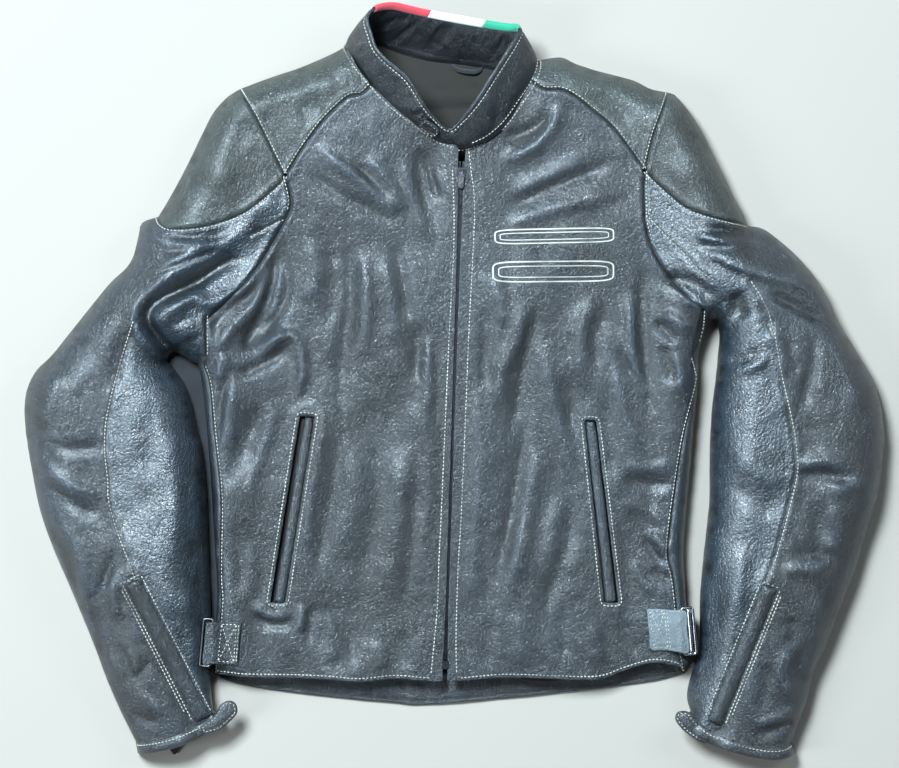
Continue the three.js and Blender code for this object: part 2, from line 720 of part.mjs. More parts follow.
// ---------------------------------------------------------------- cuffs
// band round the end of each sleeve
addPair('cuff_band', FINISH.dark, (key, { sign, cuffSeam }) => {
  const body = filled(inset(ribbon(cuffSeam, sign, sign * 11.5), 0.1), 0.4, -0.6);
  const through = (line) => ribbon(line, -sign * 12, sign * 24);
  const hole = filled(tidied(through(cuffSeam)), SLEEVE_SKIN + 0.6, SLEEVE_SKIN);
  const trim = prism(inset(through(cuffSeam.slice(0, -1)), 3.2));
  return body.subtract(hole.intersect(trim));
});

// cuff zip: a straight chain lying on the sleeve, the slider on it and the flap over both
function addCuffZip(key, start, end) {
  const length = distance(start, end);
  const dir = [(end[0] - start[0]) / length, (end[1] - start[1]) / length];
  const pointAt = (t, across) => [
    start[0] + dir[0] * t - dir[1] * across,
    start[1] + dir[1] * t + dir[0] * across,
  ];
  const startZ = surfaceHeight(...start);
  const rise = surfaceHeight(...end) - startZ;
  const lineZ = (t) => startZ + rise * t / length;
  // raise the straight line until it clears the sleeve
  let lift = 0;
  for (let t = 0; t <= length; t += 2) {
    for (const across of [-3, 0, 3]) {
      lift = Math.max(lift, surfaceHeight(...pointAt(t, across)) - lineZ(t));
    }
  }
  lift += 0.6;
  const yaw = Math.atan2(dir[1], dir[0]) - Math.PI / 2;
  const pitch = Math.atan2(rise, length);
  const place = (t, up, size) =>
    boxIn(tiltedFrame([...pointAt(t, 0), lineZ(t) + lift + up], yaw, pitch), size);
  add(`cuff_zip_chain_${key}`, place(length / 2, 0.7, [5, length - 6, 1.4]), FINISH.cuffChain);
  add(`cuff_zip_flap_${key}`, place(length / 2, 5.2, [15, length, 1.6]), FINISH.navy);
  add(`cuff_zip_slider_${key}`, place(12, 2.6, [6.4, 10, 1.6]), FINISH.gunmetal);
}
addCuffZip('right', [-247.5, -333], [-314.5, -197]);
addCuffZip('left', [264.5, -337], [317, -203.5]);

// rounded closing tab over the end of the cuff opening
const cuffTabs = {
  right: [
    [-233, -326], [-228, -320], [-222.5, -316], [-214, -317.5], [-211.5, -323],
    [-214, -330], [-222, -338], [-233, -345], [-247, -352], [-252, -344],
  ],
  left: [
    [246, -326], [236, -327], [228, -327], [225, -333], [228, -340], [236, -347],
    [248, -354], [262, -360], [267, -351],
  ],
};
addPair('cuff_tab', FINISH.dark, (key) => sheet(inset(cuffTabs[key], 0.2), -3.4, -5.4));

// ---------------------------------------------------------------- elbow and shoulder foam
const elbowPads = {
  right: { centre: [-352, -66], radii: [44, 84], skew: [8, 0] },
  left: { centre: [366, -66], radii: [44, 84], skew: [-8, 0] },
};
const shoulderPads = {
  right: { centre: [-214, 222], radii: [32, 36], skew: [14, -6] },
  left: { centre: [231, 224], radii: [28, 34], skew: [-10, 6] },
};
addPair('elbow_protector', FINISH.foam, (key) =>
  sheet(tidied(skewedEllipse(elbowPads[key])), 12.5, 3.6));
addPair('shoulder_protector', FINISH.foam, (key) =>
  sheet(tidied(skewedEllipse(shoulderPads[key])), 11.6, 3.6));

// ---------------------------------------------------------------- collar
// stations round the neck from the right front end: [base x, y, z, top x, y, z]
const COLLAR = [
  [-12, 245, 50.5, -6, 256, 63],
  [-29, 257, 50.5, -18, 268, 70],
  [-44, 268, 50, -26, 279, 76],
  [-61, 282, 49.5, -41, 303, 80],
  [-79.5, 302, 47, -61, 320, 81],
  [-91, 316, 43, -72, 332, 80],
  [-99.5, 329, 38, -77, 346, 78],
  [-103, 340, 30, -81, 362, 72],
  [-97, 347, 20, -74.5, 372.5, 64],
  [-84, 348, 12, -57, 376.5, 56],
  [-70, 344.4, 9, -38, 373, 50],
  [-47, 335.6, 8, -20, 369.5, 47],
  [-18, 328, 8, 6, 364.5, 47],
  [12, 324, 8, 34, 359.5, 47],
  [42, 320, 9, 56, 356, 50],
  [66, 320, 14, 67, 354.5, 58],
  [84, 324, 26, 68.5, 352, 68],
  [87, 318, 34, 63, 341, 74],
  [82, 302, 41, 56, 330, 78],
  [69, 281.5, 46, 41, 306, 80],
  [53, 259.5, 49, 27, 284, 80],
  [35.5, 245, 51.5, 15, 268, 76],
  [19, 239, 52.5, 5, 258, 70],
];
const collarStations = COLLAR.map(([x, y, z, ...top]) => {
  // stations over the front are kept clear of the draped surface
  const baseZ = z > 25 ? Math.max(z, surfaceHeight(x, y) + 2.4) : z;
  return { base: new THREE.Vector3(x, y, baseZ), top: new THREE.Vector3(...top) };
});

// direction from one station to another
const stationDirection = (from, to) =>
  to.base.clone().add(to.top).sub(from.base).sub(from.top).normalize();

// upright band; offset and thickness run towards the neck opening, trim shortens both edges
function band(stations, { offset, thickness, trim = 0 }) {
  return loft(stations.map(({ base, top }, i) => {
    const before = stations[Math.max(0, i - 1)];
    const after = stations[Math.min(stations.length - 1, i + 1)];
    const up = top.clone().sub(base).normalize();
    const inward = stationDirection(before, after).cross(up).normalize();
    const place = (point, depth, raise) =>
      point.clone().addScaledVector(inward, depth).addScaledVector(up, raise).toArray();
    return [
      place(base, offset, trim),
      place(top, offset, -trim),
      place(top, offset + thickness, -trim),
      place(base, offset + thickness, trim),
    ];
  }));
}
add('collar_outer', band(collarStations, { offset: 0, thickness: 1.8 }), FINISH.navy);
const collarLining = { offset: 3.1, thickness: 1.2, trim: 2.5 };
add('collar_lining', band(collarStations.slice(1, -1), collarLining), FINISH.collarLining);

// binding along the top edge at the back of the neck
const bindingStations = collarStations.slice(8, 17).map(({ base, top }) => {
  const up = top.clone().sub(base).normalize();
  return {
    base: top.clone().addScaledVector(up, 0.5),
    top: top.clone().addScaledVector(up, 3.4),
  };
});
add('collar_binding', band(bindingStations, { offset: -0.6, thickness: 3.4 }), FINISH.binding);

// closing tab outside the right front end of the collar
function collarTab() {
  const [end, next] = collarStations;
  const along = stationDirection(next, end);
  const rise = end.top.clone().add(next.top).sub(end.base).sub(next.base);
  const outward = along.clone().cross(rise).normalize();
  const up = outward.clone().cross(along).normalize();
  const centre = end.base.clone().add(end.top).add(next.base).add(next.top)
    .multiplyScalar(0.25)
    .addScaledVector(outward, 3)
    .addScaledVector(up, -1);
  const frame = new THREE.Matrix4().makeBasis(along, up, outward).setPosition(centre);
  return boxIn(frame, [18, 13, 1.6]);
}
add('collar_tab', collarTab(), FINISH.dark);
// straight bar inside the back of the neck to hang the jacket by
add('hanger_loop', rod([2, 320, 11], [32, 316.5, 11], 1.6), FINISH.hanger);

// ---------------------------------------------------------------- hand pockets
// leather welt along the pocket mouth, on top of the front panel
const pocketWelts = {
  right: [[-144, -33.5], [-136.5, -33.8], [-166.5, -216.5], [-174, -216.5]],
  left: [[139.5, -37.5], [146, -37.5], [168.5, -216.5], [161.5, -217]],
};
const pocketBags = {
  right: [
    [-140, -30], [-66, -36], [-62, -190], [-84, -236], [-150, -240], [-174, -220], [-168, -190],
  ],
  left: [[140, -34], [76, -40], [72, -190], [92, -236], [150, -240], [162, -220], [158, -190]],
};
addPair('pocket_welt', FINISH.navyMatt, (key) => sheet(tidied(pocketWelts[key]), -0.5, -1.9));
addPair('pocket_bag', FINISH.lining, (key) => sheet(tidied(pocketBags[key]), 4.4, 2.2));

// ---------------------------------------------------------------- waist adjusters
const waistTab = (outline) => sheet(inset(outline, 0.2), -0.6, -2.6);
const waistTabRight = [[-230, -237.6], [-208, -237.6], [-211.6, -281], [-233, -279.6]];
const waistTabLeft = [[196.4, -224], [224, -226], [227.5, -267.3], [200.6, -265]];
add('waist_tab_right', waistTab(waistTabRight), FINISH.navyMatt);
add('waist_tab_left', waistTab(waistTabLeft), FINISH.grey);

// rectangular wire ring: bar from start to end next to the tab, opening on the outer side
const waistRings = {
  right: { start: [-236, -235], end: [-240, -282], width: 9.5, z: 39, wire: 1.5 },
  left: { start: [234.5, -270], end: [230.5, -224], width: 11.5, z: 38, wire: 1.6 },
};
function ring({ start, end, width, z, wire }) {
  const length = distance(start, end);
  const outX = (end[1] - start[1]) / length * width;
  const outY = -(end[0] - start[0]) / length * width;
  const corners = [
    [...start, z],
    [...end, z],
    [end[0] + outX, end[1] + outY, z],
    [start[0] + outX, start[1] + outY, z],
  ];
  return union(corners.map((corner, i) =>
    rod(corner, corners[(i + 1) % 4], wire).add(ball(corner, wire * 1.04))));
}
addPair('waist_ring', FINISH.steel, (key) => ring(waistRings[key]));

// upright strap at the side edge, beside the ring
const waistStraps = {
  right: { centre: [-238.3, -258.5, 19], size: [1.1, 36, 28], yaw: -1.5 },
  left: { centre: [240.4, -247, 19], size: [1.4, 34, 28], yaw: 0 },
};
addPair('waist_strap', FINISH.navyMatt, (key) => {
  const { centre, size, yaw } = waistStraps[key];
  return boxIn(tiltedFrame(centre, THREE.MathUtils.degToRad(yaw), 0), size);
});

export default jacket;
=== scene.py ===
"""Leather riding jacket lying on its back, zipped up, seen from above.

+Y runs to the collar, +Z up from the floor. The wearer's right is at -X. 'R' and 'L' in names
and keys are the wearer's sides. Curves and sizes are in millimetres in the frame of the CAD
pieces; meshes are made in metres.
"""
import functools
import math
import bmesh
import bpy
import numpy as np
from mathutils import Matrix, Vector
from mathutils.geometry import delaunay_2d_cdt


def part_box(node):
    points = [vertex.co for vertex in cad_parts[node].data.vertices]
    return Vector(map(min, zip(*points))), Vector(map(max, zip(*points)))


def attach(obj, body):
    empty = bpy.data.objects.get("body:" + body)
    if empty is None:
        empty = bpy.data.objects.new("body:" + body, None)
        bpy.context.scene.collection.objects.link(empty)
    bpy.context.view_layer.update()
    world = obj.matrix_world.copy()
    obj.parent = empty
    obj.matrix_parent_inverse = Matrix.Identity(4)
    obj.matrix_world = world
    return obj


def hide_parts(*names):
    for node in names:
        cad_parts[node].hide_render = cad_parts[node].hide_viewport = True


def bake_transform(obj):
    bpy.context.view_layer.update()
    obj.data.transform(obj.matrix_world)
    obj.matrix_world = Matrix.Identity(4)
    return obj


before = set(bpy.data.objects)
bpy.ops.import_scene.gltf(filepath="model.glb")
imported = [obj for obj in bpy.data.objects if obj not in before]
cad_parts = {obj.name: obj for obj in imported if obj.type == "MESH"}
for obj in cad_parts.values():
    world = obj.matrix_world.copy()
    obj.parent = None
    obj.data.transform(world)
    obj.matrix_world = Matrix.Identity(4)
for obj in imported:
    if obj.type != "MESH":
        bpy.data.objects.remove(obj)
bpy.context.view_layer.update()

MM = 0.001
STEP = 2.5            # mesh spacing of the leather panels
COLLAR_STEP = 1.7
COLLAR_SMOOTHING = 19   # rounds of smoothing of the collar's outward direction
PANEL_THICKNESS = 1.3
EDGE_HEIGHT = 15.0                      # height of the leather at its rolled edges
WORD = {'R': 'right', 'L': 'left'}
SIGN = {'R': -1, 'L': 1}                # direction of each side along x


def points(flat):
    """Rows of x, y from a flat list."""
    return np.reshape(np.array(flat, float), (-1, 2))


# ------------------------------------------------------------------ design tables
# Seams, edges and stitch rows in plan, as x,y pairs.
LINE = {
    'neck': [-104,340, -99.5,330, -91,314, -79,298, -61,281, -44,268, -29,257, -12,245, 5,237,
             19,239, 35.5,245, 53,259, 69,281, 82,302, 87,325],
    'back_neck': [87,325, 70,320, 45,315, 15,315, -10,318, -40,324, -70,332, -104,340],
    'yoke_R': [-79,298, -88,289, -98,287.5, -108,281, -128,261, -147.5,234.5, -164,208],
    'yoke_L': [82,302, 94,294.2, 111,293.4, 124.6,287, 142.9,273, 162.8,256, 179,234.5, 194,213],
    'armhole_top_R': [-164,208, -169,216, -177.3,233, -191,261, -201.4,279.3, -212,296],
    'armhole_top_L': [194,213, 196.8,225, 202.6,248, 210.9,271, 219,293],
    'armhole_low_R': [-164,208, -159,185, -160,173, -166,161, -174,146, -186,126, -202,104,
                      -220,84, -236,69, -243,64],
    'armhole_low_L': [194,213, 193.4,195, 193.6,179, 194.5,162, 200,139, 210,119, 224,100,
                      240,84, 253,73],
    'cap_R': [-164,208, -168,202, -181,190, -202,173.2, -227,162, -252,156, -277,155,
              -288.4,160, -293,168.2],
    'cap_L': [194,213, 212.5,195, 232,178.2, 249,170, 274,163.2, 298,159],
    'shoulder_R': [-104,340, -118,332, -150,318, -180,308, -212,296],
    'shoulder_L': [87,325, 111,328, 124.6,322.4, 143,316, 166,310, 186,304.2, 202.6,296, 219,293],
    'cap_edge_R': [-212,296, -225,287, -238,272, -250,249, -262,224, -275,199, -287,178,
                   -293,168.2],
    'cap_edge_L': [219,293, 226,290, 236,279.3, 249,261, 260.6,238, 272,215, 282,193,
                   290.5,178.2, 298,159],
    'sleeve_outer_R': [-293,168.2, -309,162, -313,149, -318,129, -326,116, -341,102, -360,79,
                       -380,54, -400,29, -416,13, -425,-6, -427.5,-28, -425,-56, -420,-86,
                       -412,-126, -400,-161, -385,-196, -371,-229, -358,-261, -345,-296,
                       -331,-328, -315,-360],
    'sleeve_outer_L': [298,159, 314,156, 330,145, 349,128, 364,111, 375.5,94, 387,69, 398,50,
                       412,27, 425,4, 433,-23, 436,-52, 434,-84, 431,-106, 426.7,-124, 416,-157,
                       405,-193, 390,-232, 379,-261, 366,-291, 358,-321, 343,-360],
    'cuff_seam_R': [-315,-360, -298,-357, -281,-353, -267,-348, -254,-342.6, -244,-337,
                    -237,-329],
    'cuff_seam_L': [343,-360, 332,-363.5, 320,-364, 306,-362, 293,-359, 281,-355.5, 270.6,-352,
                    259,-347, 250,-340, 242,-330],
    'sleeve_inner_R': [-237,-329, -238.5,-316, -240,-296, -240,-244, -240.5,-213, -242.5,-161,
                       -244.5,-108, -249,-66, -253.5,-48, -259.5,-21, -266,-2, -275.5,13, -284,24],
    'sleeve_inner_L': [242,-330, 238,-316, 239,-304, 244,-286, 250,-268, 251,-252, 251,-216,
                       254,-179, 258,-142, 260.5,-114, 261,-65, 263,-26, 266.5,2, 268.5,22,
                       270.5,50, 267,63],
    'armpit_R': [-284,24, -278,32, -268,28, -260,23, -253,20],
    'armpit_L': [267,63, 263,65, 258,58, 253,44, 249,29],
    'side_edge_R': [-253,20, -249,-1, -245,-37, -241,-86, -238,-134, -235.5,-176, -233.5,-207,
                    -235,-236, -237,-290],
    'side_edge_L': [249,29, 249,2, 245,-39, 241.6,-80, 237.6,-120.5, 234.5,-161, 236,-202,
                    238,-231, 238,-261, 236,-288],
    'side_seam_R': [-243,64, -243,29, -246,18, -240,-3, -236,-49, -231,-90.5, -229,-122,
                    -230,-161, -230.5,-194, -229,-216, -231,-241, -234,-266, -237,-290],
    'side_seam_L': [253,73, 248,49, 243,27, 247,14, 247.5,0, 234.5,-49, 226,-100, 218,-165,
                    223,-192, 226,-216, 230,-256, 236,-288],
    'hem_R': [-237,-290, -202,-293, -154,-293.8, -122,-295, -91,-297.5, -56,-294.5, -27,-296.5,
              -8,-297.5],
    'hem_L': [-2,-297.5, 8,-297, 53,-293.3, 101,-294.3, 148,-295, 174,-286.5, 203,-278.5,
              226,-281.5, 236,-288],
    'back_hem': [-237,-292, -220,-300, -186,-307, -122,-315, -59,-321, -27,-323, 37,-318,
                 133,-308.6, 196,-300.6, 231,-293, 236,-290],
    'sleeve_seam_R': [-312,62, -322,34, -334,-10, -340,-39, -341,-66, -338,-96, -337.5,-113,
                      -332,-136, -323,-161, -316,-178, -311,-193],
    'sleeve_seam_L': [297,101, 306,87, 314,71, 318,58, 320,50, 327.6,8, 339,-42, 343,-71,
                      343.5,-84, 341.5,-98, 336.7,-118, 324,-166, 313,-197],
    'short_seam_R': [-166,165, -181,157, -200.5,147],
    'short_seam_L': [194.6,168, 215.8,145, 235.7,125, 241.5,117, 250,110, 261.6,102],
    'gusset_R': [-242.7,68, -242,54, -242.7,28.6, -254.3,29.5],
    'gusset_L': [252.9,73.4, 251.8,57, 248,42, 242.7,27.5, 251.8,23.4],
    'zip_stitch_R': [2.5,214, 3,202, 4,172, 3.6,131, -1,44, -5,-46, -9,-136, -11,-176,
                     -12.5,-221, -16,-261, -19,-290],
    'zip_stitch_L': [18.4,236, 21,213, 24.5,182, 23.5,141, 19,54, 15,-46, 11,-136, 8.5,-176,
                     6.7,-225, 6,-261, 6.7,-289],
    'hem_stitch_R': [-234,-287, -202,-290, -154,-290.8, -122,-292, -91,-294.5, -56,-291.5,
                     -27,-293.5, -20,-294],
    'hem_stitch_L': [10,-294, 53,-290.3, 101,-291.3, 148,-292, 174,-283.5, 203,-275.5,
                     226,-278.5, 233,-285],
}
LINE = {key: points(flat) for key, flat in LINE.items()}

# Folds: height (below 0 for a dip), half width (or a pair: left, right of travel), x,y pairs.
FOLDS = [
    (5, 8, -186,171, -199,159, -224,141.5, -250,134, -278,118, -300,99),
    (-3.5, 3, -226,136, -250,126, -266,119.5, -285,112, -293,105),
    (5, 8, -226,130, -250,121, -268,112, -290,96, -312,74),
    (-15, 7, -198,130, -228,118, -257.4,99, -284,87, -298,76, -301,63, -290,45, -272,26, -259,12),
    (7, 8, -300,88, -310,72, -312,62, -304,46, -290,32, -272,16, -260,0, -254,-18),
    (6, 7, -284,52, -281,68, -266,81, -251.5,86, -240,80, -216,89, -204,96, -192,116, -184,132),
    (5, 11, -264,62, -258,44), (-5, 6, -237,39, -234,59, -222,76, -205,87, -188,98),
    (5, 6, -236,24, -219,52, -200,73, -188,91, -179,116),
    (-7, 6, -210,20, -200,49, -186,74, -178,101, -173,126, -170,146),
    (-5, 6, -167,152, -164,122, -163,94, -169,76, -182,54, -193,32, -202,16),
    (5, 6, -193,28, -180,42, -166,49, -154,46, -149,35, -147,18, -150,-6, -154,-20),
    (-5, 6, -160,38, -180,24, -202,13, -218,6), (4, 6, -222,32, -228,18, -228,2),
    (-4, 5, -214,20, -222,8, -228,-16, -232,-56), (3, 7, -216,0, -220,-26, -224,-66),
    (-3, 5, -284,150, -260,146, -236,146, -214,152), (3, 6, -278,140, -258,138, -238,141),
    (-3, 4, -300,144, -280,132, -264,134, -258,144), (4, 12, -210,162, -188,174, -170,188),
    (-4, 9, -312,62, -322,39, -330,16, -336,-8), (4, 10, -390,19, -398,-11, -406,-41),
    (4, 7, -414,-66, -402,-83, -386,-96, -361,-108, -346,-117),
    (-3, 6, -412,-56, -380,-64, -350,-62, -338,-54),
    (-3, 6, -404,-94, -388,-110, -366,-124, -346,-132),
    (3.5, 8, -400,-125, -388,-140, -371,-165, -361,-215),
    (-3.5, 6, -408,-124, -396,-148, -382,-176, -374,-212, -368,-246),
    (-3.5, 5, -332,-161, -338,-182, -348,-206, -363,-223),
    (4, 6, -331,-181, -333,-207, -329,-236), (3, 6, -325,-217, -315,-238, -304,-256),
    (-3, 5, -298,-271, -305,-284, -315,-299), (3, 7, -350,-236, -344,-266, -336,-296),
    (-3, 5, -358,-216, -352,-246, -346,-276), (-2.5, 5, -330,-256, -322,-280, -318,-306),
    (2.5, 5, -310,-306, -296,-320, -284,-330), (-2.5, 5, -322,-324, -304,-334, -290,-338),
    (3, 9, -280,-36, -274,-76, -272,-126, -274,-176), (-2.5, 8, -300,-16, -298,-56, -300,-96),
    (3, 6, -266,-196, -258,-236, -252,-276), (-2.5, 5, -278,-216, -268,-246, -260,-284),
    (-3, 5, -252,-176, -248,-216, -246,-256),
    (4.5, 7, -138,238, -116,223, -90,204, -63,183, -42,165),
    (-3.5, 6, -146,216, -116,193, -81,174, -54,160), (3.5, 6, -84,228, -56,196, -46,172),
    (-3, 5, -98,224, -74,198, -58,176), (-4, 8, -104,158, -99,119, -100,83, -107,30, -111,-26),
    (4, 8, -89,134, -84,99, -84,62, -90,24), (3.5, 10, -138,148, -136,114, -138,78),
    (-2.5, 8, -120,148, -116,104, -120,54), (3.5, 7, -22,54, -21,9, -23,-36),
    (-3.5, 7, -35,64, -33,34, -36,0), (-3, 6, -12,54, -10,4, -12,-46),
    (-4.5, 4, -26,236, -20,212, -9,180), (4, 5, -18,212, -9,202, 2,187),
    (-3, 5, -32,238, -30,208, -22,170), (3.5, 6, -46,234, -42,204, -32,170, -18,136),
    (-3, 7, -58,148, -48,104, -40,54), (3, 8, -66,128, -58,84, -54,34),
    (4, 8, -196,32, -178,42, -161,47), (-4.5, 7, -207,32, -192,50, -176,72),
    (-3.5, 9, -188,-21, -202,-48, -214,-76, -226,-112),
    (3, 8, -170,-8, -182,-46, -194,-86, -204,-136),
    (4, 7, -124,-12, -130,-56, -140,-116, -148,-172),
    (-3, 7, -110,-36, -116,-96, -128,-156, -138,-206), (3, 12, -94,-56, -98,-116, -110,-176),
    (-2.5, 10, -70,-46, -72,-106, -80,-166, -90,-226),
    (3, 12, -50,-56, -52,-116, -58,-176, -66,-236),
    (-2.5, 8, -30,-56, -34,-116, -40,-176, -46,-236),
    (3.5, 5, -198,-218, -188,-228, -176,-233, -160,-228),
    (-3.5, 5, -200,-228, -186,-238, -168,-240, -152,-236),
    (3, 5, -145,-219, -149,-234, -150,-250), (-3, 5, -136,-216, -140,-238, -142,-262),
    (-2.5, 7, -214,-136, -210,-176, -212,-216), (2.5, 7, -200,-156, -198,-196, -204,-220),
    (2.5, 8, -120,-226, -118,-256, -120,-284), (-2, 8, -100,-236, -98,-266, -100,-288),
    (2, 9, -70,-256, -68,-288), (-2, 8, -50,-246, -46,-288),
    (5, 7, 48,220, 83,236, 102,260, 112,284), (-4.5, 6, 48,242, 83,254, 103,272),
    (-3.5, 7, 48,170, 91,192, 141,212, 168,226), (3.5, 8, 60,188, 100,208, 140,228),
    (3, 8, 50,152, 90,170, 140,184, 176,194), (4.5, 8, 77,88, 65,43, 52,12, 47,-32),
    (-4, 7, 90,86, 73,14, 58,-71), (-3.5, 7, 80,4, 72,-59, 53,-171, 42,-216),
    (4, 8, 94,46, 99,2, 109,-39, 125,-102), (4, 10, 91,-56, 82,-106, 68,-172, 56,-226),
    (-3.5, 8, 116,12, 122,-26, 128,-56), (-3.5, 9, 124,-106, 116,-156, 100,-206, 90,-256),
    (3, 12, 110,-106, 102,-156, 90,-206), (3.5, 7, 146,92, 131,54, 132,4),
    (-3.5, 7, 156,84, 146,48, 146,8), (4, 6, 181,98, 180,64, 181,39, 190,2, 206,-24),
    (-5, 7, 192,122, 191,84, 193,44, 197,8, 207,-21), (-4, 5, 166,39, 176,18, 191,-4, 207,-30),
    (3.5, 6, 164,24, 170,-11, 178,-41, 191,-71), (-4, 5, 204,63, 216,53, 227,40),
    (4, 6, 210,72, 226,62, 240,52), (-4, 6, 210,40, 218,22, 222,0),
    (3.5, 6, 222,32, 230,12, 230,-12), (3, 6, 172,-80, 200,-84, 226,-78),
    (-3.5, 6, 170,-94, 200,-100, 226,-98), (3, 7, 168,-116, 194,-126, 216,-140),
    (-4, 5, 192,-151, 204,-169, 218,-182), (4, 5, 200,-146, 212,-161, 222,-168),
    (-3.5, 5, 202,-182, 212,-192, 224,-198), (3, 5, 182,-176, 192,-196, 206,-210),
    (-3, 7, 150,-16, 156,-56, 162,-96), (2.5, 9, 30,-56, 26,-116, 22,-176, 18,-236),
    (-2, 8, 40,-226, 38,-256, 38,-284), (2.5, 9, 70,-226, 70,-256, 68,-284),
    (-2.5, 8, 110,-216, 112,-250, 116,-280), (2.5, 8, 140,-236, 146,-266, 150,-284),
    (-2.5, 6, 170,-236, 180,-260, 190,-272), (-3, 8, 30,84, 34,44, 36,-6),
    (2.5, 8, 42,114, 50,84, 56,54), (-6, 7, 209,105, 238,101, 268,85),
    (4, 4, 228,83, 248,79.5, 269,72), (-3.5, 4, 249,155, 265,154, 286,150, 307,145, 318,137),
    (4, 4, 242,149, 260,144, 283,140), (-3, 4, 245,140, 262,135, 281,134),
    (4, 5, 326,144, 337,132, 348,118), (-3, 4, 302,153, 314,146, 324,136),
    (5, (12, 4), 240,132, 262,127, 283,117, 312,107, 338,101, 354,94, 366,83, 377,64),
    (-6, 6, 314,94, 338,80, 362,67, 375,62), (-4, 7, 352,54, 360,37, 358,8, 348,-29),
    (-2, 3.5, 335,48, 341,24, 346,6), (4, 9, 372,56, 388,24, 400,-11, 402,-41),
    (-7, 8, 283,94, 287,78, 293,62), (3.5, 5, 271,13, 285,13, 300,17, 318,27),
    (-3, 5, 274,24, 292,26, 310,35), (5, 4, 272,84, 274,64, 272,39),
    (3, 7, 318,64, 326,34, 334,4), (-3, 5, 306,84, 314,64, 318,44),
    (4, 7, 342,-84, 362,-78, 380,-78, 396,-83), (-4, 6, 340,-94, 364,-90, 386,-92, 402,-98),
    (3.5, 7, 376,-106, 396,-102, 414,-92), (3, 10, 278,-68, 300,-84, 333,-105),
    (-2.5, 8, 280,-96, 300,-116, 326,-132), (3.5, 7, 328,-187, 350,-184, 374,-186),
    (-3, 6, 340,-172, 362,-168, 388,-172), (-3.5, 6, 337,-230, 340,-248, 339,-264),
    (4, 6, 338,-262, 330,-288, 338,-306, 347,-316), (-3, 6, 350,-256, 348,-282, 356,-306),
    (3, 8, 362,-206, 366,-232, 360,-260), (-3, 5, 302,-352, 326,-344, 350,-334),
    (3, 5, 300,-342, 324,-334, 348,-322), (3, 10, 380,-116, 386,-146, 378,-176),
    (-3, 9, 362,-116, 368,-146, 362,-176), (3, 9, 290,-156, 288,-196, 280,-236),
    (-2.5, 8, 266,-176, 266,-216, 260,-256), (2.5, 7, 310,-236, 300,-276, 288,-316),
    (-2.5, 7, 318,-276, 314,-306, 306,-332), (3, 14, -250,234, -236,214, -214,198),
    (-2.5, 12, -234,274, -218,254, -200,234), (2.5, 14, 250,234, 240,214, 218,200),
    (-2.5, 10, 226,274, 238,254, 250,238), (2.5, 12, -150,304, -130,298, -112,300),
    (-2.5, 10, -154,274, -140,274, -124,280), (2.5, 10, 110,314, 134,304, 162,294),
    (-2.5, 9, 140,292, 162,280, 182,260),
]
# Grooves along seams: line, depth, width.
GROOVES = [('yoke', 1.6, 1.5), ('cap', 1.6, 1.5), ('armhole_top', 1.6, 1.5),
           ('armhole_low', 2.6, 2.0), ('side_seam', 1.8, 1.6), ('sleeve_seam', 1.3, 1.4),
           ('short_seam', 0.9, 1.2), ('gusset', 1.0, 1.2)]

# Front zip: x, y of its ends.
ZIP_TOP, ZIP_BOTTOM = (11.5, 219.0), (-5.0, -290.0)
# Cuff zips: lower end, upper end, slider place, slider direction.
CUFF_ZIP = {
    'R': ((-247.5, -333.0), (-314.5, -197.0), (-252.80, -322.24, 40.85),
          (-0.435677, 0.884358, 0.167620)),
    'L': ((264.5, -337.0), (317.0, -203.5), (268.89, -325.83, 44.04),
          (0.362642, 0.922147, 0.134670)),
}
CUFF_ZIP = {side: [np.array(v) for v in row] for side, row in CUFF_ZIP.items()}
# Lines down the pocket mouths, and the corners of the openings.
POCKET_LINES = [points([-142,-33, -172,-218]), points([140,-37, 161,-218])]
POCKET_CORNERS = {'R': points([-150,-31.7, -135,-32.4, -165,-218.7, -180,-218.7]),
                  'L': points([134,-36, 146,-36, 168.7,-218.7, 154,-218.7])}
# Sharp corners of the outline.
KINKS = points([-293,168.2, 298,159, -284,24, 267,63, -253,20, 249,29, -278,32, 263,65,
                -237,-290, 236,-288])
# Rolled edge: distance in from the outline, share of the edge height kept.
CURL = [(0.15, 0.80), (0.8, 0.60), (2.2, 0.40), (4.6, 0.22), (8.0, 0.09), (13.0, 0.035)]
# Turned-under edge: distance in from the outline, height from the edge.
TURN = [(-0.35, -0.8), (-0.25, -1.9), (0.7, -2.8), (3.5, -3.1), (9.0, -3.3)]


# ------------------------------------------------------------------ curves
def arc_length(line):
    """Distance along a line at each of its points."""
    return np.concatenate([[0], np.cumsum(np.linalg.norm(np.diff(line, axis=0), axis=1))])


def interp_rows(at, place, rows):
    """Every column of rows, given at the rising places, looked up elsewhere."""
    return np.stack([np.interp(at, place, rows[:, k]) for k in range(rows.shape[1])], 1)


def unit(v):
    return v / np.linalg.norm(v)


def unit_rows(rows):
    return rows / np.maximum(1e-9, np.linalg.norm(rows, axis=1))[:, None]


def spline(p, step):
    """Points along a smooth curve through p, about step apart."""
    p = np.asarray(p, float)
    fine = p
    if len(p) > 2:
        q = np.vstack([2 * p[0] - p[1], p, 2 * p[-1] - p[-2]])
        out = []
        for i in range(1, len(q) - 2):
            p0, p1, p2, p3 = q[i - 1:i + 3]
            count = max(2, int(np.linalg.norm(p2 - p1) / 1.0))
            t = np.linspace(0, 1, count, endpoint=False)[:, None]
            out.append(0.5 * (2 * p1 + (p2 - p0) * t + (2 * p0 - 5 * p1 + 4 * p2 - p3) * t ** 2
                              + (3 * p1 - p0 - 3 * p2 + p3) * t ** 3))
        fine = np.vstack(out + [p[-1:]])
    s = arc_length(fine)
    return interp_rows(np.linspace(0, s[-1], max(2, int(round(s[-1] / step)) + 1)), s, fine)


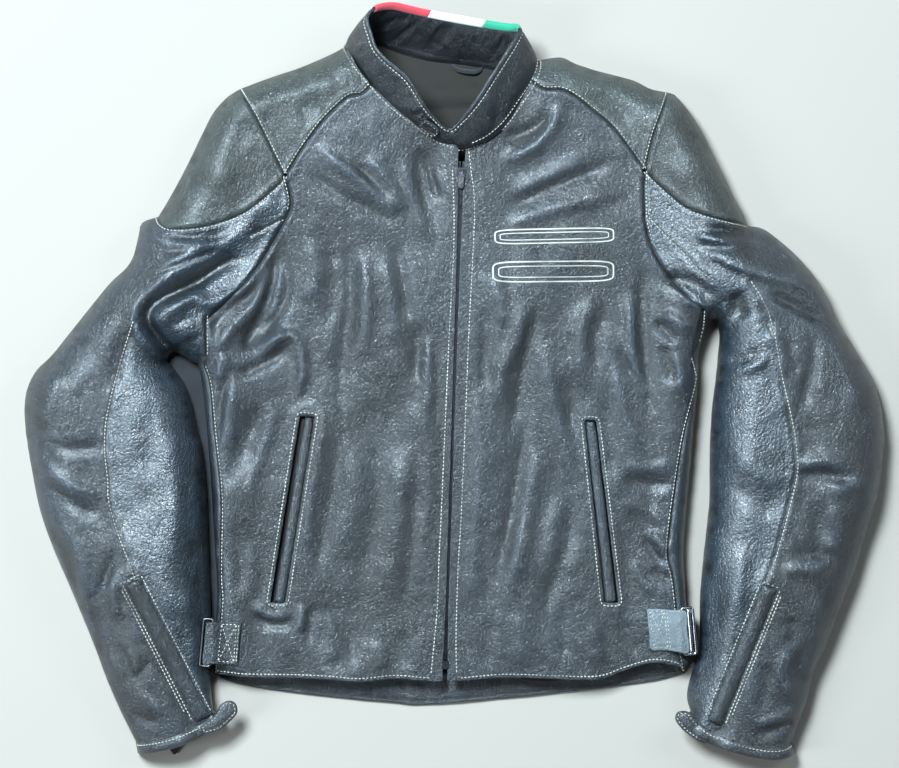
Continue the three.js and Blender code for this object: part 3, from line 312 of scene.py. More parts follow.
def chain(*lines):
    """Lines end to end as one."""
    out = [lines[0]]
    for line in lines[1:]:
        out.append(line[1:] if np.linalg.norm(out[-1][-1] - line[0]) < 1.5 else line)
    return np.vstack(out)


def left_normals(line):
    d = unit_rows(np.gradient(line, axis=0))
    return np.stack([-d[:, 1], d[:, 0]], 1)


def shift(line, gap):
    """The line moved to its left by gap."""
    return line + left_normals(line) * gap


def closed(ring):
    return np.vstack([ring, ring[:1]])


def signed_area(ring):
    """Above 0 when the ring runs anticlockwise."""
    after = np.roll(ring, -1, axis=0)
    return 0.5 * np.sum(ring[:, 0] * after[:, 1] - after[:, 0] * ring[:, 1])


def inward_normals(ring):
    t = unit_rows(np.roll(ring, -1, axis=0) - np.roll(ring, 1, axis=0))
    return np.stack([-t[:, 1], t[:, 0]], 1) * (1 if signed_area(ring) > 0 else -1)


def join_ring(*lines, step=4.0, gap=2.5):
    """Closed ring along the lines in turn; ends nearer than gap are merged."""
    out = []
    for line in lines:
        q = spline(line, step)
        if out and np.linalg.norm(out[-1] - q[0]) < gap:
            q = q[1:]
        out += list(q)
    out = np.array(out)
    return out[:-1] if np.linalg.norm(out[0] - out[-1]) < gap else out


def divided(ring, count):
    """The ring with each side cut into count(length) equal parts."""
    out = []
    for a, b in zip(ring, np.roll(ring, -1, axis=0)):
        n = max(1, count(np.linalg.norm(b - a)))
        out += [a + (b - a) * t / n for t in range(n)]
    return np.array(out)


def soft_rectangle(corners, step=2.0, radius=1.2):
    """Closed ring with softened corners through four corner points."""
    out = []
    for i in range(4):
        p, q, s = corners[i - 1], corners[i], corners[(i + 1) % 4]
        a, b = unit(p - q), unit(s - q)
        out += [q + a * radius, q + (a + b) * radius * 0.32, q + b * radius]
    return divided(np.array(out), lambda length: int(round(length / step)))


def superellipse(radius_x, radius_y, power, count):
    a = np.linspace(0, 2 * math.pi, count, endpoint=False)
    c, s = np.cos(a), np.sin(a)
    k = (np.abs(c) ** power + np.abs(s) ** power) ** (-1 / power)
    return np.stack([radius_x * c * k, radius_y * s * k], 1)


def line_dist(P, line):
    """Distance of points P to the line, place along it (0 to 1), and side (+1 left of travel)."""
    line = line[np.concatenate([[True], np.abs(np.diff(line, axis=0)).sum(1) > 1e-9])]
    start, run = line[:-1], np.diff(line, axis=0)
    run2 = (run ** 2).sum(1)
    total = np.concatenate([[0], np.cumsum(np.sqrt(run2))])
    best, arc, side = np.full(len(P), 1e18), np.zeros(len(P)), np.ones(len(P))
    for i in range(len(start)):
        ap = P - start[i]
        t = np.clip(ap @ run[i] / run2[i], 0, 1)
        q = ap - t[:, None] * run[i]
        d = (q ** 2).sum(1)
        m = d < best
        best[m] = d[m]
        arc[m] = total[i] + t[m] * math.sqrt(run2[i])
        side[m] = np.where(run[i, 0] * ap[m, 1] - run[i, 1] * ap[m, 0] >= 0, 1, -1)
    return np.sqrt(best), arc / total[-1], side


def distance(P, line):
    return line_dist(P, line)[0]


def near_box(P, line, margin):
    """Which points lie in the line's bounding box, grown by margin."""
    return ((P > line.min(0) - margin) & (P < line.max(0) + margin)).all(1)


def inside(P, ring):
    result = np.zeros(len(P), bool)
    x, y = P[:, 0], P[:, 1]
    for (x1, y1), (x2, y2) in zip(ring, np.roll(ring, -1, axis=0)):
        if y1 != y2:
            result ^= ((y1 > y) != (y2 > y)) & (x < (x2 - x1) * (y - y1) / (y2 - y1) + x1)
    return result


def inset(ring, gap):
    """Closed ring moved in by gap."""
    q = ring + inward_normals(ring) * gap
    return q[(distance(q, closed(ring)) > gap * 0.9) & inside(q, ring)]


# ------------------------------------------------------------------ noise and easing
@functools.lru_cache(maxsize=None)
def lattice(seed):
    return np.random.default_rng(1000 + seed).uniform(-1, 1, (257, 257))


def noise(x, y, cell, seed):
    """Smooth noise, about -1 to 1, with cells of the given size in mm."""
    g = lattice(seed)
    u, v = x / cell + 91.3 + seed * 3.7, y / cell + 57.1 + seed * 1.9
    i, j = np.floor(u).astype(int), np.floor(v).astype(int)
    fu, fv = u - i, v - j
    fu = fu * fu * fu * (fu * (fu * 6 - 15) + 10)
    fv = fv * fv * fv * (fv * (fv * 6 - 15) + 10)
    i %= 256
    j %= 256
    return ((g[i, j] * (1 - fu) + g[i + 1, j] * fu) * (1 - fv)
            + (g[i, j + 1] * (1 - fu) + g[i + 1, j + 1] * fu) * fv)


def ease(t):
    """0 to 1, smooth at both ends."""
    t = np.clip(t, 0, 1)
    return t * t * (3 - 2 * t)


def dome(t):
    """Quarter circle: rises steeply from 0 and levels off at 1."""
    return np.sqrt(np.clip(1 - (1 - np.clip(t, 0, 1)) ** 2, 0, 1))


def bell(t):
    return np.exp(-t ** 2)


# ------------------------------------------------------------------ the draped surface
EDGE_NAMES = ['shoulder', 'cap_edge', 'sleeve_outer', 'cuff_seam', 'sleeve_inner', 'armpit',
              'side_edge']
FREE = {name + '_' + side: spline(LINE[name + '_' + side], 5)
        for side in 'RL' for name in EDGE_NAMES if name != 'cuff_seam'}
# The whole outline, anticlockwise from the right of the neck.
OUTLINE = ([LINE[name + '_R'] for name in EDGE_NAMES] + [LINE['hem_R'][1:], LINE['hem_L']]
           + [LINE[name + '_L'][::-1] for name in reversed(EDGE_NAMES)] + [LINE['neck'][::-1]])
WHOLE = np.vstack([spline(line, 5)[:-1] for line in OUTLINE])
CHAINS = [chain(*[FREE[name + side] for name in names])
          for names in (('shoulder_', 'cap_edge_', 'sleeve_outer_'),
                        ('sleeve_inner_', 'armpit_', 'side_edge_')) for side in 'RL']
GROOVE_LINES = [(spline(LINE[name + '_' + side], 4), depth, width)
                for name, depth, width in GROOVES for side in 'RL']
FOLD_LINES = [(row[0], np.broadcast_to(row[1], 2), spline(points(row[2:]), 4)) for row in FOLDS]


def up_zip(y):
    """Share of the way up the front zip."""
    return (y - ZIP_BOTTOM[1]) / (ZIP_TOP[1] - ZIP_BOTTOM[1])


def zip_x(y):
    return ZIP_BOTTOM[0] + (ZIP_TOP[0] - ZIP_BOTTOM[0]) * up_zip(y)


def zip_height(y):
    return 30 + 16 * up_zip(y)


def beside_zip(y, sign, gap):
    return np.stack([zip_x(y) + sign * gap, y], -1)


def folds(P):
    z = np.zeros(len(P))
    for height, (left, right), line in FOLD_LINES:
        m = near_box(P, line, 3 * max(left, right))
        if m.any():
            d, t, s = line_dist(P[m], line)
            fade = np.minimum(ease(t / 0.3 + 0.08), ease((1 - t) / 0.3 + 0.08))
            z[m] += height * bell(d / np.where(s > 0, left, right)) * fade
    return z


def creases(P, d):
    """Folds and noise at distance d from the free edge, calmer by the zip and the pockets."""
    x, y = P[:, 0], P[:, 1]
    wx, wy = x + 9 * noise(x, y, 70, 1), y + 9 * noise(x, y, 70, 2)
    e = (3.2 * noise(wx, wy * 0.62, 92, 8) + 2.3 * noise(wx, wy * 0.72, 46, 3)
         + 0.8 * noise(wx, wy, 25, 4) + 0.28 * noise(wx, wy, 12, 5) + 0.11 * noise(wx, wy, 5.5, 6))
    e = ease(d / 9) * e + ease(d / 12) * folds(P)
    e *= 0.03 + 0.97 * ease((np.abs(x - zip_x(y)) - 9) / 20 + (y > 242) * 1.0)
    for line in POCKET_LINES:
        e *= 0.35 + 0.65 * ease((distance(P, line) - 9) / 12)
    return e


buckling = None     # height changes from the cloth pass, once it has run


def drape(P, grooves=True, detail=True):
    """Height of the leather over each plan point, in mm."""
    x, y = P[:, 0], P[:, 1]
    d = np.full(len(P), 1e9)
    for line in FREE.values():
        m = near_box(P, line, 70)
        if m.any():
            d[m] = np.minimum(d[m], distance(P[m], line))
    sleeve = ease((np.abs(x - 4) - 190) / 90)
    height = zip_height(y) * (1 - sleeve) + (44 + 16 * ease((y + 370) / 190)) * sleeve
    roundness = 30 * (1 - sleeve) + 46 * sleeve
    z = EDGE_HEIGHT + (height - EDGE_HEIGHT) * dome(d / roundness)
    if detail:
        z += creases(P, d)
        if buckling is not None:
            z += buckled_height(P)
    # a level strip under each cuff zip
    for low, high, place, axis in CUFF_ZIP.values():
        dd = distance(P, np.array([low, high]))
        m = dd < 40
        if m.any():
            flat = math.hypot(axis[0], axis[1])
            s = (P[m] - place[:2]) @ axis[:2] / flat
            level = place[2] - 3.4 + s / flat * axis[2]
            w = bell(np.maximum(0, dd[m] - 7) / 11)
            z[m] = z[m] * (1 - w) + level * w
    if grooves:
        for line, depth, width in GROOVE_LINES:
            m = near_box(P, line, 9)
            if m.any():
                dd = distance(P[m], line)
                z[m] += 0.55 * bell((dd - 4.0) / 2.6) - depth * bell(dd / width)
    return z


# ------------------------------------------------------------------ mesh helpers
def make(name, verts, faces, smooth=True):
    me = bpy.data.meshes.new(name)
    me.from_pydata([tuple(v) for v in verts], [], [tuple(f) for f in faces])
    me.validate()
    if smooth:
        me.polygons.foreach_set("use_smooth", [True] * len(me.polygons))
    return link(name, me)


def link(name, data):
    o = bpy.data.objects.new(name, data)
    bpy.context.scene.collection.objects.link(o)
    return o


def shader_attributes(o, cavity=None, tone=None):
    """Store what the materials read: rest place, cavity (-1 low to 1 high), from which they paint
    shade into hollows and wear and sheen onto ridges, and panel tone.
    """
    me = o.data
    co = np.zeros(len(me.vertices) * 3, np.float32)
    me.vertices.foreach_get("co", co)
    me.attributes.new("rest", "FLOAT_VECTOR", "POINT").data.foreach_set("vector", co)
    for name, values in (("cav", cavity), ("tone", tone)):
        if values is None:
            values = np.zeros(len(me.vertices))
        attribute = me.attributes.new(name, "FLOAT", "POINT")
        attribute.data.foreach_set("value", np.asarray(values, np.float32))


def relief(o, rounds=14, scale=1.2):
    """How far each vertex stands above a smoothed copy of the surface, along z, in -1 to 1."""
    me = o.data
    n = len(me.vertices)
    co = np.zeros(n * 3)
    me.vertices.foreach_get("co", co)
    z = co.reshape(-1, 3)[:, 2] * 1000
    edges = np.zeros(len(me.edges) * 2, int)
    me.edges.foreach_get("vertices", edges)
    a, b = edges.reshape(-1, 2).T
    s = z.copy()
    degree = np.bincount(edges, minlength=n).clip(1)
    for _ in range(rounds):
        s = 0.5 * s + 0.5 * (np.bincount(a, s[b], n) + np.bincount(b, s[a], n)) / degree
    return np.clip((z - s) / scale, -1, 1)


def solidify(o, thickness):
    """Give the sheet thickness behind its face, as real mesh."""
    m = o.modifiers.new("thick", "SOLIDIFY")
    m.thickness = thickness * MM
    m.offset = -1.0
    m.use_rim = True
    dg = bpy.context.evaluated_depsgraph_get()
    me = bpy.data.meshes.new_from_object(o.evaluated_get(dg))
    o.modifiers.clear()
    old = o.data
    o.data = me
    me.name = old.name
    bpy.data.meshes.remove(old)


def fill_outline(ring, edge_rows, step, holes=()):
    """Triangles over a plan outline: edge points, rows close to the edge, then an even fill.

    Returns points, triangles, and the point numbers of the ring and of each hole.
    """
    edge = closed(ring)
    lo, hi = ring.min(0), ring.max(0)
    nx, ny = int((hi[0] - lo[0]) / step) + 2, int((hi[1] - lo[1]) / (step * 0.866)) + 2
    jj, ii = np.mgrid[0:ny, 0:nx]
    grid = np.stack([(lo[0] + (ii + 0.5 * (jj % 2)) * step).ravel(),
                     (lo[1] + jj * step * 0.866).ravel()], 1)
    grid = grid[inside(grid, ring)]
    grid = grid[distance(grid, edge) > edge_rows[-1] + step * 0.55]
    normals = inward_normals(ring)
    rows = []
    for r in edge_rows:
        q = ring + normals * r
        rows.append(q[(distance(q, edge) > r * 0.93) & inside(q, ring)])
    for hole in holes:
        rim = closed(hole)
        rows = [q[(distance(q, rim) > 1.2) & ~inside(q, hole)] for q in rows]
        grid = grid[(distance(grid, rim) > 1.5) & ~inside(grid, hole)]
    pts = np.vstack([ring, *holes, *rows, grid])
    loops = [len(ring)] + [len(hole) for hole in holes]
    fixed = sum(loops)
    # drop points that crowd an earlier one
    cells = set()
    keep = np.ones(len(pts), bool)
    for i in range(fixed, len(pts)):
        key = (int(pts[i, 0] / 0.45), int(pts[i, 1] / 0.45))
        keep[i] = key not in cells
        cells.add(key)
    pts = pts[keep]
    edges, at = [], 0
    for m in loops:
        edges += [(at + i, at + (i + 1) % m) for i in range(m)]
        at += m
    result = delaunay_2d_cdt([Vector(p) for p in pts], edges, [], 0, 1e-5, True)
    V = np.array([tuple(v) for v in result[0]])
    F = np.array(result[2], int)
    origin = np.array([o[0] if len(o) else -1 for o in result[3]])
    centre = V[F].mean(1)
    ok = inside(centre, ring)
    for hole in holes:
        ok &= ~inside(centre, hole)
    F = F[ok]
    turn = np.cross(V[F[:, 1]] - V[F[:, 0]], V[F[:, 2]] - V[F[:, 0]])
    F[turn < 0] = F[turn < 0][:, ::-1]
    used = np.unique(F)
    remap = np.full(len(V), -1)
    remap[used] = np.arange(len(used))
    index = np.full(fixed, -1)
    known = (origin >= 0) & (origin < fixed) & (remap >= 0)
    index[origin[known]] = remap[known]
    numbers, at = [], 0
    for m in loops:
        numbers.append(index[at:at + m])
        at += m
    return V[used], remap[F], numbers[0], numbers[1:]


def chain_normal(p, fallback):
    """Inward normal of the outline near p, the same for both panels that meet there."""
    best = None
    for line in CHAINS:
        d = ((line - p) ** 2).sum(1)
        i = int(d.argmin())
        if best is None or d[i] < best[0]:
            best = (d[i], line[min(len(line) - 1, i + 2)] - line[max(0, i - 2)])
    t = unit(best[1])
    n = np.array([-t[1], t[0]])
    left_in, right_in = inside(np.array([p + n * 2.5, p - n * 2.5]), WHOLE)
    if left_in != right_in:
        return n if left_in else -n
    return n if n @ fallback > 0 else -n


def curl_scale(p):
    """How far the rolled edge may reach under: less next to a sharp corner of the outline."""
    return 0.12 + 0.88 * min(1.0, float(np.linalg.norm(KINKS - p, axis=1).min()) / 16.0)


def panel(name, segments, holes=(), tone=None):
    """A leather panel on the draped surface.

    segments: (points, kind) round the outline; 'free' rolls under to the back, 'fold' turns
    under, 'seam' just ends. Holes turn under.
    """
    ring, kinds = [], []
    for pts, kind in segments:
        q = spline(pts, STEP)
        if ring and np.linalg.norm(ring[-1] - q[0]) < 1.2:
            q = q[1:]
        for v in q:
            if ring:
                kinds.append(kind)
            ring.append(v)
    if np.linalg.norm(ring[0] - ring[-1]) < 1.2:
        ring.pop()
    else:
        kinds.append(segments[-1][1])
    ring = np.array(ring)
    V, F, ring_index, hole_index = fill_outline(ring, (0.7, 1.9, 3.6, 5.6), STEP, holes)
    verts = np.column_stack([V, drape(V)])
    faces = [tuple(f) for f in F]
    extra, columns = [], {}

    def column(key, first, place, normal, kind):
        """Vertex numbers from the edge under to the end of its roll or fold."""
        if (key, kind) not in columns:
            z = verts[first, 2]
            reach = 1.0
            steps = [(u, z + dz) for u, dz in TURN]
            if kind == 'free':
                normal = chain_normal(place, normal)
                reach = curl_scale(place)
                steps = [(u, 0.6 + (z - 0.6) * f) for u, f in CURL]
            out = [first]
            for u, height in steps:
                out.append(len(verts) + len(extra))
                extra.append([*(place + normal * u * reach), height])
            columns[(key, kind)] = out
        return columns[(key, kind)]

    def turn_edge(loop, index, normals, kinds, tag, forward):
        for i, kind in enumerate(kinds):
            j = (i + 1) % len(loop)
            if kind == 'seam' or index[i] < 0 or index[j] < 0:
                continue
            a = column((tag, i), index[i], loop[i], normals[i], kind)
            b = column((tag, j), index[j], loop[j], normals[j], kind)
            for k in range(len(a) - 1):
                face = (a[k], a[k + 1], b[k + 1], b[k])
                faces.append(face if forward else (a[k], b[k], b[k + 1], a[k + 1]))

    turn_edge(ring, ring_index, inward_normals(ring), kinds, 'ring', signed_area(ring) > 0)
    for h, (hole, index) in enumerate(zip(holes, hole_index)):
        turn_edge(hole, index, -inward_normals(hole), ['fold'] * len(hole), h,
                  signed_area(hole) <= 0)
    if extra:
        verts = np.vstack([verts, np.array(extra)])
    o = make(name, verts * MM, faces)
    shader_attributes(o, relief(o), tone(verts) if tone else None)
    solidify(o, PANEL_THICKNESS)
    return o


def double_sheet(name, ring, F, ring_index, top, bottom):
    """Closed body from two matching sheets joined along their outline."""
    n = len(top)
    faces = [tuple(q) for q in F] + [tuple(q + n)[::-1] for q in F]
    forward = signed_area(ring) > 0
    for a, b in zip(ring_index, np.roll(ring_index, -1)):
        if a >= 0 and b >= 0:
            faces.append((a, a + n, b + n, b) if forward else (a, b, b + n, a + n))
    return make(name, np.vstack([top, bottom]) * MM, faces)


def grid_mesh(name, rows, thickness=0.0, closed_rows=False, up=False, away=None):
    """Mesh over a grid of points rows[i][j]; faces look up, or away from a point, if asked."""
    P = np.asarray(rows, float)
    a, b = P.shape[:2]
    faces = []
    for i in range(a - 1):
        for j in range(b if closed_rows else b - 1):
            jn = (j + 1) % b
            faces.append((i * b + j, i * b + jn, (i + 1) * b + jn, (i + 1) * b + j))
    o = make(name, P.reshape(-1, 3) * MM, faces)
    if up and np.mean([p.normal.z for p in o.data.polygons]) < 0:
        o.data.flip_normals()
    if away is not None:
        c = Vector(np.asarray(away, float) * MM)
        if np.mean([p.normal.dot(p.center - c) for p in o.data.polygons]) < 0:
            o.data.flip_normals()
    shader_attributes(o, relief(o, 8, 0.9))
    if thickness:
        solidify(o, thickness)
    return o


def rod_mesh(name, P, radius, sides=12, closed=False, flatness=1.0):
    """Tube along a line of points, with rounded ends when open."""
    n = len(P)
    T = unit_rows(np.roll(P, -1, 0) - np.roll(P, 1, 0) if closed else np.gradient(P, axis=0))
    cur = np.array([0.0, 0.0, 1.0])
    if abs(T[0] @ cur) > 0.9:
        cur = np.array([0.0, 1.0, 0.0])
    frames = []
    for t in T:
        cur = unit(cur - (cur @ t) * t)
        frames.append((cur, np.cross(t, cur)))
    # stations: point, distance past it and size of the ring, both in radii
    stations = [(i, 0, 1) for i in range(n)]
    if not closed:
        caps = [(math.sin(math.radians(a)), math.cos(math.radians(a))) for a in (22, 50, 80)]
        stations = ([(0, -s, c) for s, c in reversed(caps)] + stations
                    + [(n - 1, s, c) for s, c in caps])
    rings = []
    for i, along, size in stations:
        a, b = frames[i]
        c = P[i] + T[i] * along * radius
        rings.append([c + (a * math.cos(w) + b * flatness * math.sin(w)) * radius * size
                      for w in np.linspace(0, 2 * math.pi, sides, endpoint=False)])
    V = np.array(rings).reshape(-1, 3)
    m = len(rings)
    F = []
    for i in range(m if closed else m - 1):
        j = (i + 1) % m
        for s in range(sides):
            t = (s + 1) % sides
            F.append((i * sides + s, i * sides + t, j * sides + t, j * sides + s))
    if not closed:
        F.append(tuple(range(sides))[::-1])
        F.append(tuple((m - 1) * sides + s for s in range(sides)))
    o = make(name, V * MM, F)
    shader_attributes(o)
    return o


def outline_block(name, outline, z0, z1, matrix, bevel, segments):
    """Plate of a plan outline with rounded edges, placed by a matrix in mm."""
    bm = bmesh.new()
    face = bm.faces.new([bm.verts.new((x, y, z0)) for x, y in outline])
    raised = bmesh.ops.extrude_face_region(bm, geom=[face])['geom']
    bmesh.ops.translate(bm, vec=(0, 0, z1 - z0),
                        verts=[v for v in raised if isinstance(v, bmesh.types.BMVert)])
    bmesh.ops.recalc_face_normals(bm, faces=bm.faces)
    bmesh.ops.bevel(bm, geom=list(bm.edges), offset=bevel, segments=segments, affect='EDGES',
                    clamp_overlap=True)
    bmesh.ops.transform(bm, matrix=Matrix(matrix), verts=bm.verts)
    bmesh.ops.scale(bm, vec=(MM, MM, MM), verts=bm.verts)
    me = bpy.data.meshes.new(name)
    bm.to_mesh(me)
    bm.free()
    for p in me.polygons:
        p.use_smooth = True
    me.set_sharp_from_angle(angle=math.radians(40))
    o = link(name, me)
    shader_attributes(o)
    return o


def placement(x_axis, y_axis, z_axis, origin):
    M = np.eye(4)
    M[:3] = np.column_stack([x_axis, y_axis, z_axis, origin])
    return M


def recalculate_normals(o, bevel=0.0):
    """Turn all faces outward and, if asked, bevel the edges by some mm."""
    bm = bmesh.new()
    bm.from_mesh(o.data)
    bmesh.ops.recalc_face_normals(bm, faces=bm.faces)
    if bevel:
        bmesh.ops.bevel(bm, geom=list(bm.edges), offset=bevel * MM, segments=1, affect='EDGES')
    bm.to_mesh(o.data)
    bm.free()


def join(name, objects):
    bpy.ops.object.select_all(action='DESELECT')
    for o in objects:
        o.select_set(True)
    bpy.context.view_layer.objects.active = objects[0]
    if len(objects) > 1:
        bpy.ops.object.join()
    o = bpy.context.view_layer.objects.active
    o.name = name
    o.data.name = name
    return o


# ------------------------------------------------------------------ cloth pass
# The whole skin as one sheet, let out a little so that it buckles.
GRID_X, GRID_Y, GRID_STEP, GRID_NX, GRID_NY = -450.0, -385.0, 2.0, 451, 386
CLOTH_FRAMES = 22
CLOTH_STEP = 5.2
CLOTH_EASE = 0.028      # share by which the cloth is let out
MAX_RISE = 7.0
MAX_SLIDE = 6.0
# Places with more slack (elbows, armpits, lower sleeves, neck): x, y, radius.
SLACK_SPOTS = [(-250, 60, 75), (250, 60, 75), (-215, -20, 60), (225, -20, 60), (-330, -90, 90),
               (350, -90, 90), (-20, 200, 60), (40, 200, 60)]
# Sample places in each triangle.
SAMPLES = [(1/3, 1/3), (0.6, 0.2), (0.2, 0.6), (0.2, 0.2), (0.47, 0.47), (0.06, 0.47),
           (0.47, 0.06), (0.8, 0.1), (0.1, 0.8), (0.1, 0.1)]


def pin_weights(V, outline):
    """How firmly each point is held: edges, seams, zips and pocket mouths."""
    d = distance(V, closed(outline))
    w = np.where(d < 1.5, 1.0, np.where(d < 7, 0.35, 0.0))
    for line, _, _ in GROOVE_LINES:
        w = np.maximum(w, 0.30 * bell(distance(V, line) / 4.0))
    by_zip = (V[:, 1] < 240) & (np.abs(V[:, 0] - zip_x(V[:, 1])) < 9)
    w = np.maximum(w, np.where(by_zip, 1.0, 0.0))
    for low, high, _, _ in CUFF_ZIP.values():
        w = np.maximum(w, np.where(distance(V, np.array([low, high])) < 10, 1.0, 0.0))
    for line in POCKET_LINES:
        w = np.maximum(w, 0.75 * ease((18 - distance(V, line)) / 8))
    return np.maximum(w, 0.010)


def slack_weights(V):
    """Share of the ease each point gets: little on the chest and least on the shoulder caps."""
    x, y = V[:, 0], V[:, 1]
    e = 0.34 + 0.66 * ease((np.abs(x - 4) - 215) / 40)
    for cx, cy, r in SLACK_SPOTS:
        e = np.maximum(e, 0.95 * bell(np.hypot(x - cx, y - cy) / r))
    for side in 'RL':
        cap = np.vstack([LINE['cap_' + side], LINE['cap_edge_' + side][::-1],
                         LINE['armhole_top_' + side][::-1]])
        e = np.where(inside(V, cap), 0.15, e)
    return e


def add_cloth(o):
    m = o.modifiers.new("cloth", 'CLOTH')
    settings = dict(
        quality=4, mass=0.25, tension_stiffness=22, compression_stiffness=22, shear_stiffness=9,
        bending_stiffness=1.6, tension_damping=8, compression_damping=8, shear_damping=8,
        bending_damping=1.0, air_damping=2.0, vertex_group_mass="pin", pin_stiffness=0.9,
        vertex_group_shrink="ease", shrink_min=0.0, shrink_max=-CLOTH_EASE)
    for key, value in settings.items():
        setattr(m.settings, key, value)
    m.settings.effector_weights.gravity = 0.0
    m.collision_settings.use_collision = False
    m.point_cache.frame_start = 1
    m.point_cache.frame_end = CLOTH_FRAMES


def blur(a):
    near = np.roll(a, 1, 0) + np.roll(a, -1, 0) + np.roll(a, 1, 1) + np.roll(a, -1, 1)
    return (a + 0.5 * near) / 3.0


def rise_grid(Q, F, heights):
    """Heights at the moved points Q as a change from the drape, on the plan grid."""
    acc = np.zeros(GRID_NX * GRID_NY)
    weight = np.zeros(GRID_NX * GRID_NY)
    A, B, D = Q[F[:, 0]], Q[F[:, 1]], Q[F[:, 2]]
    for u, v in SAMPLES:
        q = A * (1 - u - v) + B * u + D * v
        h = heights[F[:, 0]] * (1 - u - v) + heights[F[:, 1]] * u + heights[F[:, 2]] * v
        fx, fy = (q[:, 0] - GRID_X) / GRID_STEP, (q[:, 1] - GRID_Y) / GRID_STEP
        i, j = np.floor(fx).astype(int), np.floor(fy).astype(int)
        for di in (0, 1):
            for dj in (0, 1):
                w = (1 - np.abs(fx - i - di)) * (1 - np.abs(fy - j - dj)) + 1e-4
                k = (np.clip(j + dj, 0, GRID_NY - 1) * GRID_NX
                     + np.clip(i + di, 0, GRID_NX - 1))
                np.add.at(acc, k, w * h)
                np.add.at(weight, k, w)
    ok = weight > 0.02
    X, Y = np.meshgrid(GRID_X + GRID_STEP * np.arange(GRID_NX),
                       GRID_Y + GRID_STEP * np.arange(GRID_NY))
    G = np.stack([X.ravel(), Y.ravel()], 1)
    change = np.zeros(GRID_NX * GRID_NY)
    change[ok] = acc[ok] / weight[ok] - drape(G[ok], grooves=False)
    change, mask = change.reshape(GRID_NY, GRID_NX), ok.reshape(GRID_NY, GRID_NX).astype(float)
    # smooth, and spread past the outline
    for _ in range(6):
        change = blur(change * mask) / np.maximum(1e-6, blur(mask))
        mask = (blur(mask) > 0.02).astype(float)
    return np.clip(change * 1.22, -8.0, 8.0)


def run_cloth():
    outline = join_ring(*OUTLINE, step=5.0, gap=3.2)
    V, F, _, _ = fill_outline(outline, (2.6,), CLOTH_STEP)
    z = drape(V, grooves=False)
    o = make("sheet", np.column_stack([V, z]) * MM, F)
    for name, weights in (("pin", pin_weights(V, outline)), ("ease", slack_weights(V))):
        group = o.vertex_groups.new(name=name)
        for i, w in enumerate(weights):
            group.add([i], float(w), 'REPLACE')
    add_cloth(o)
    scene = bpy.context.scene
    for frame in range(1, CLOTH_FRAMES + 1):
        scene.frame_set(frame)
    evaluated = o.evaluated_get(bpy.context.evaluated_depsgraph_get())
    co = np.zeros(len(V) * 3)
    evaluated.to_mesh().vertices.foreach_get("co", co)
    evaluated.to_mesh_clear()
    P = co.reshape(-1, 3) * 1000
    # guards against a solver that blew up: fall back to the plain drape
    if not np.isfinite(P).all():
        P = np.column_stack([V, z])
    rise = MAX_RISE * np.tanh((P[:, 2] - z) / MAX_RISE)
    scene.frame_set(1)
    me = o.data
    bpy.data.objects.remove(o)
    bpy.data.meshes.remove(me)
    slide = P[:, :2] - V
    length = np.maximum(1e-6, np.linalg.norm(slide, axis=1))
    slide = slide * np.minimum(1, MAX_SLIDE / length)[:, None]
    return rise_grid(V + slide, F, z + rise)


def buckled_height(P):
    """Height change from the cloth pass, by smooth lookup."""
    fx = np.clip((P[:, 0] - GRID_X) / GRID_STEP, 1, GRID_NX - 3)
    fy = np.clip((P[:, 1] - GRID_Y) / GRID_STEP, 1, GRID_NY - 3)
    i, j = np.floor(fx).astype(int), np.floor(fy).astype(int)

    def cubic(t):
        return [((-0.5 * t + 1.0) * t - 0.5) * t, (1.5 * t - 2.5) * t * t + 1.0,
                ((-1.5 * t + 2.0) * t + 0.5) * t, (0.5 * t - 0.5) * t * t]
    cu, cv = cubic(fx - i), cubic(fy - j)
    r = np.zeros(len(P))
    for a in range(4):
        for b in range(4):
            r += cv[a] * cu[b] * buckling[j + a - 1, i + b - 1]
    return r


buckling = run_cloth()

# ------------------------------------------------------------------ materials
MATERIALS = {}


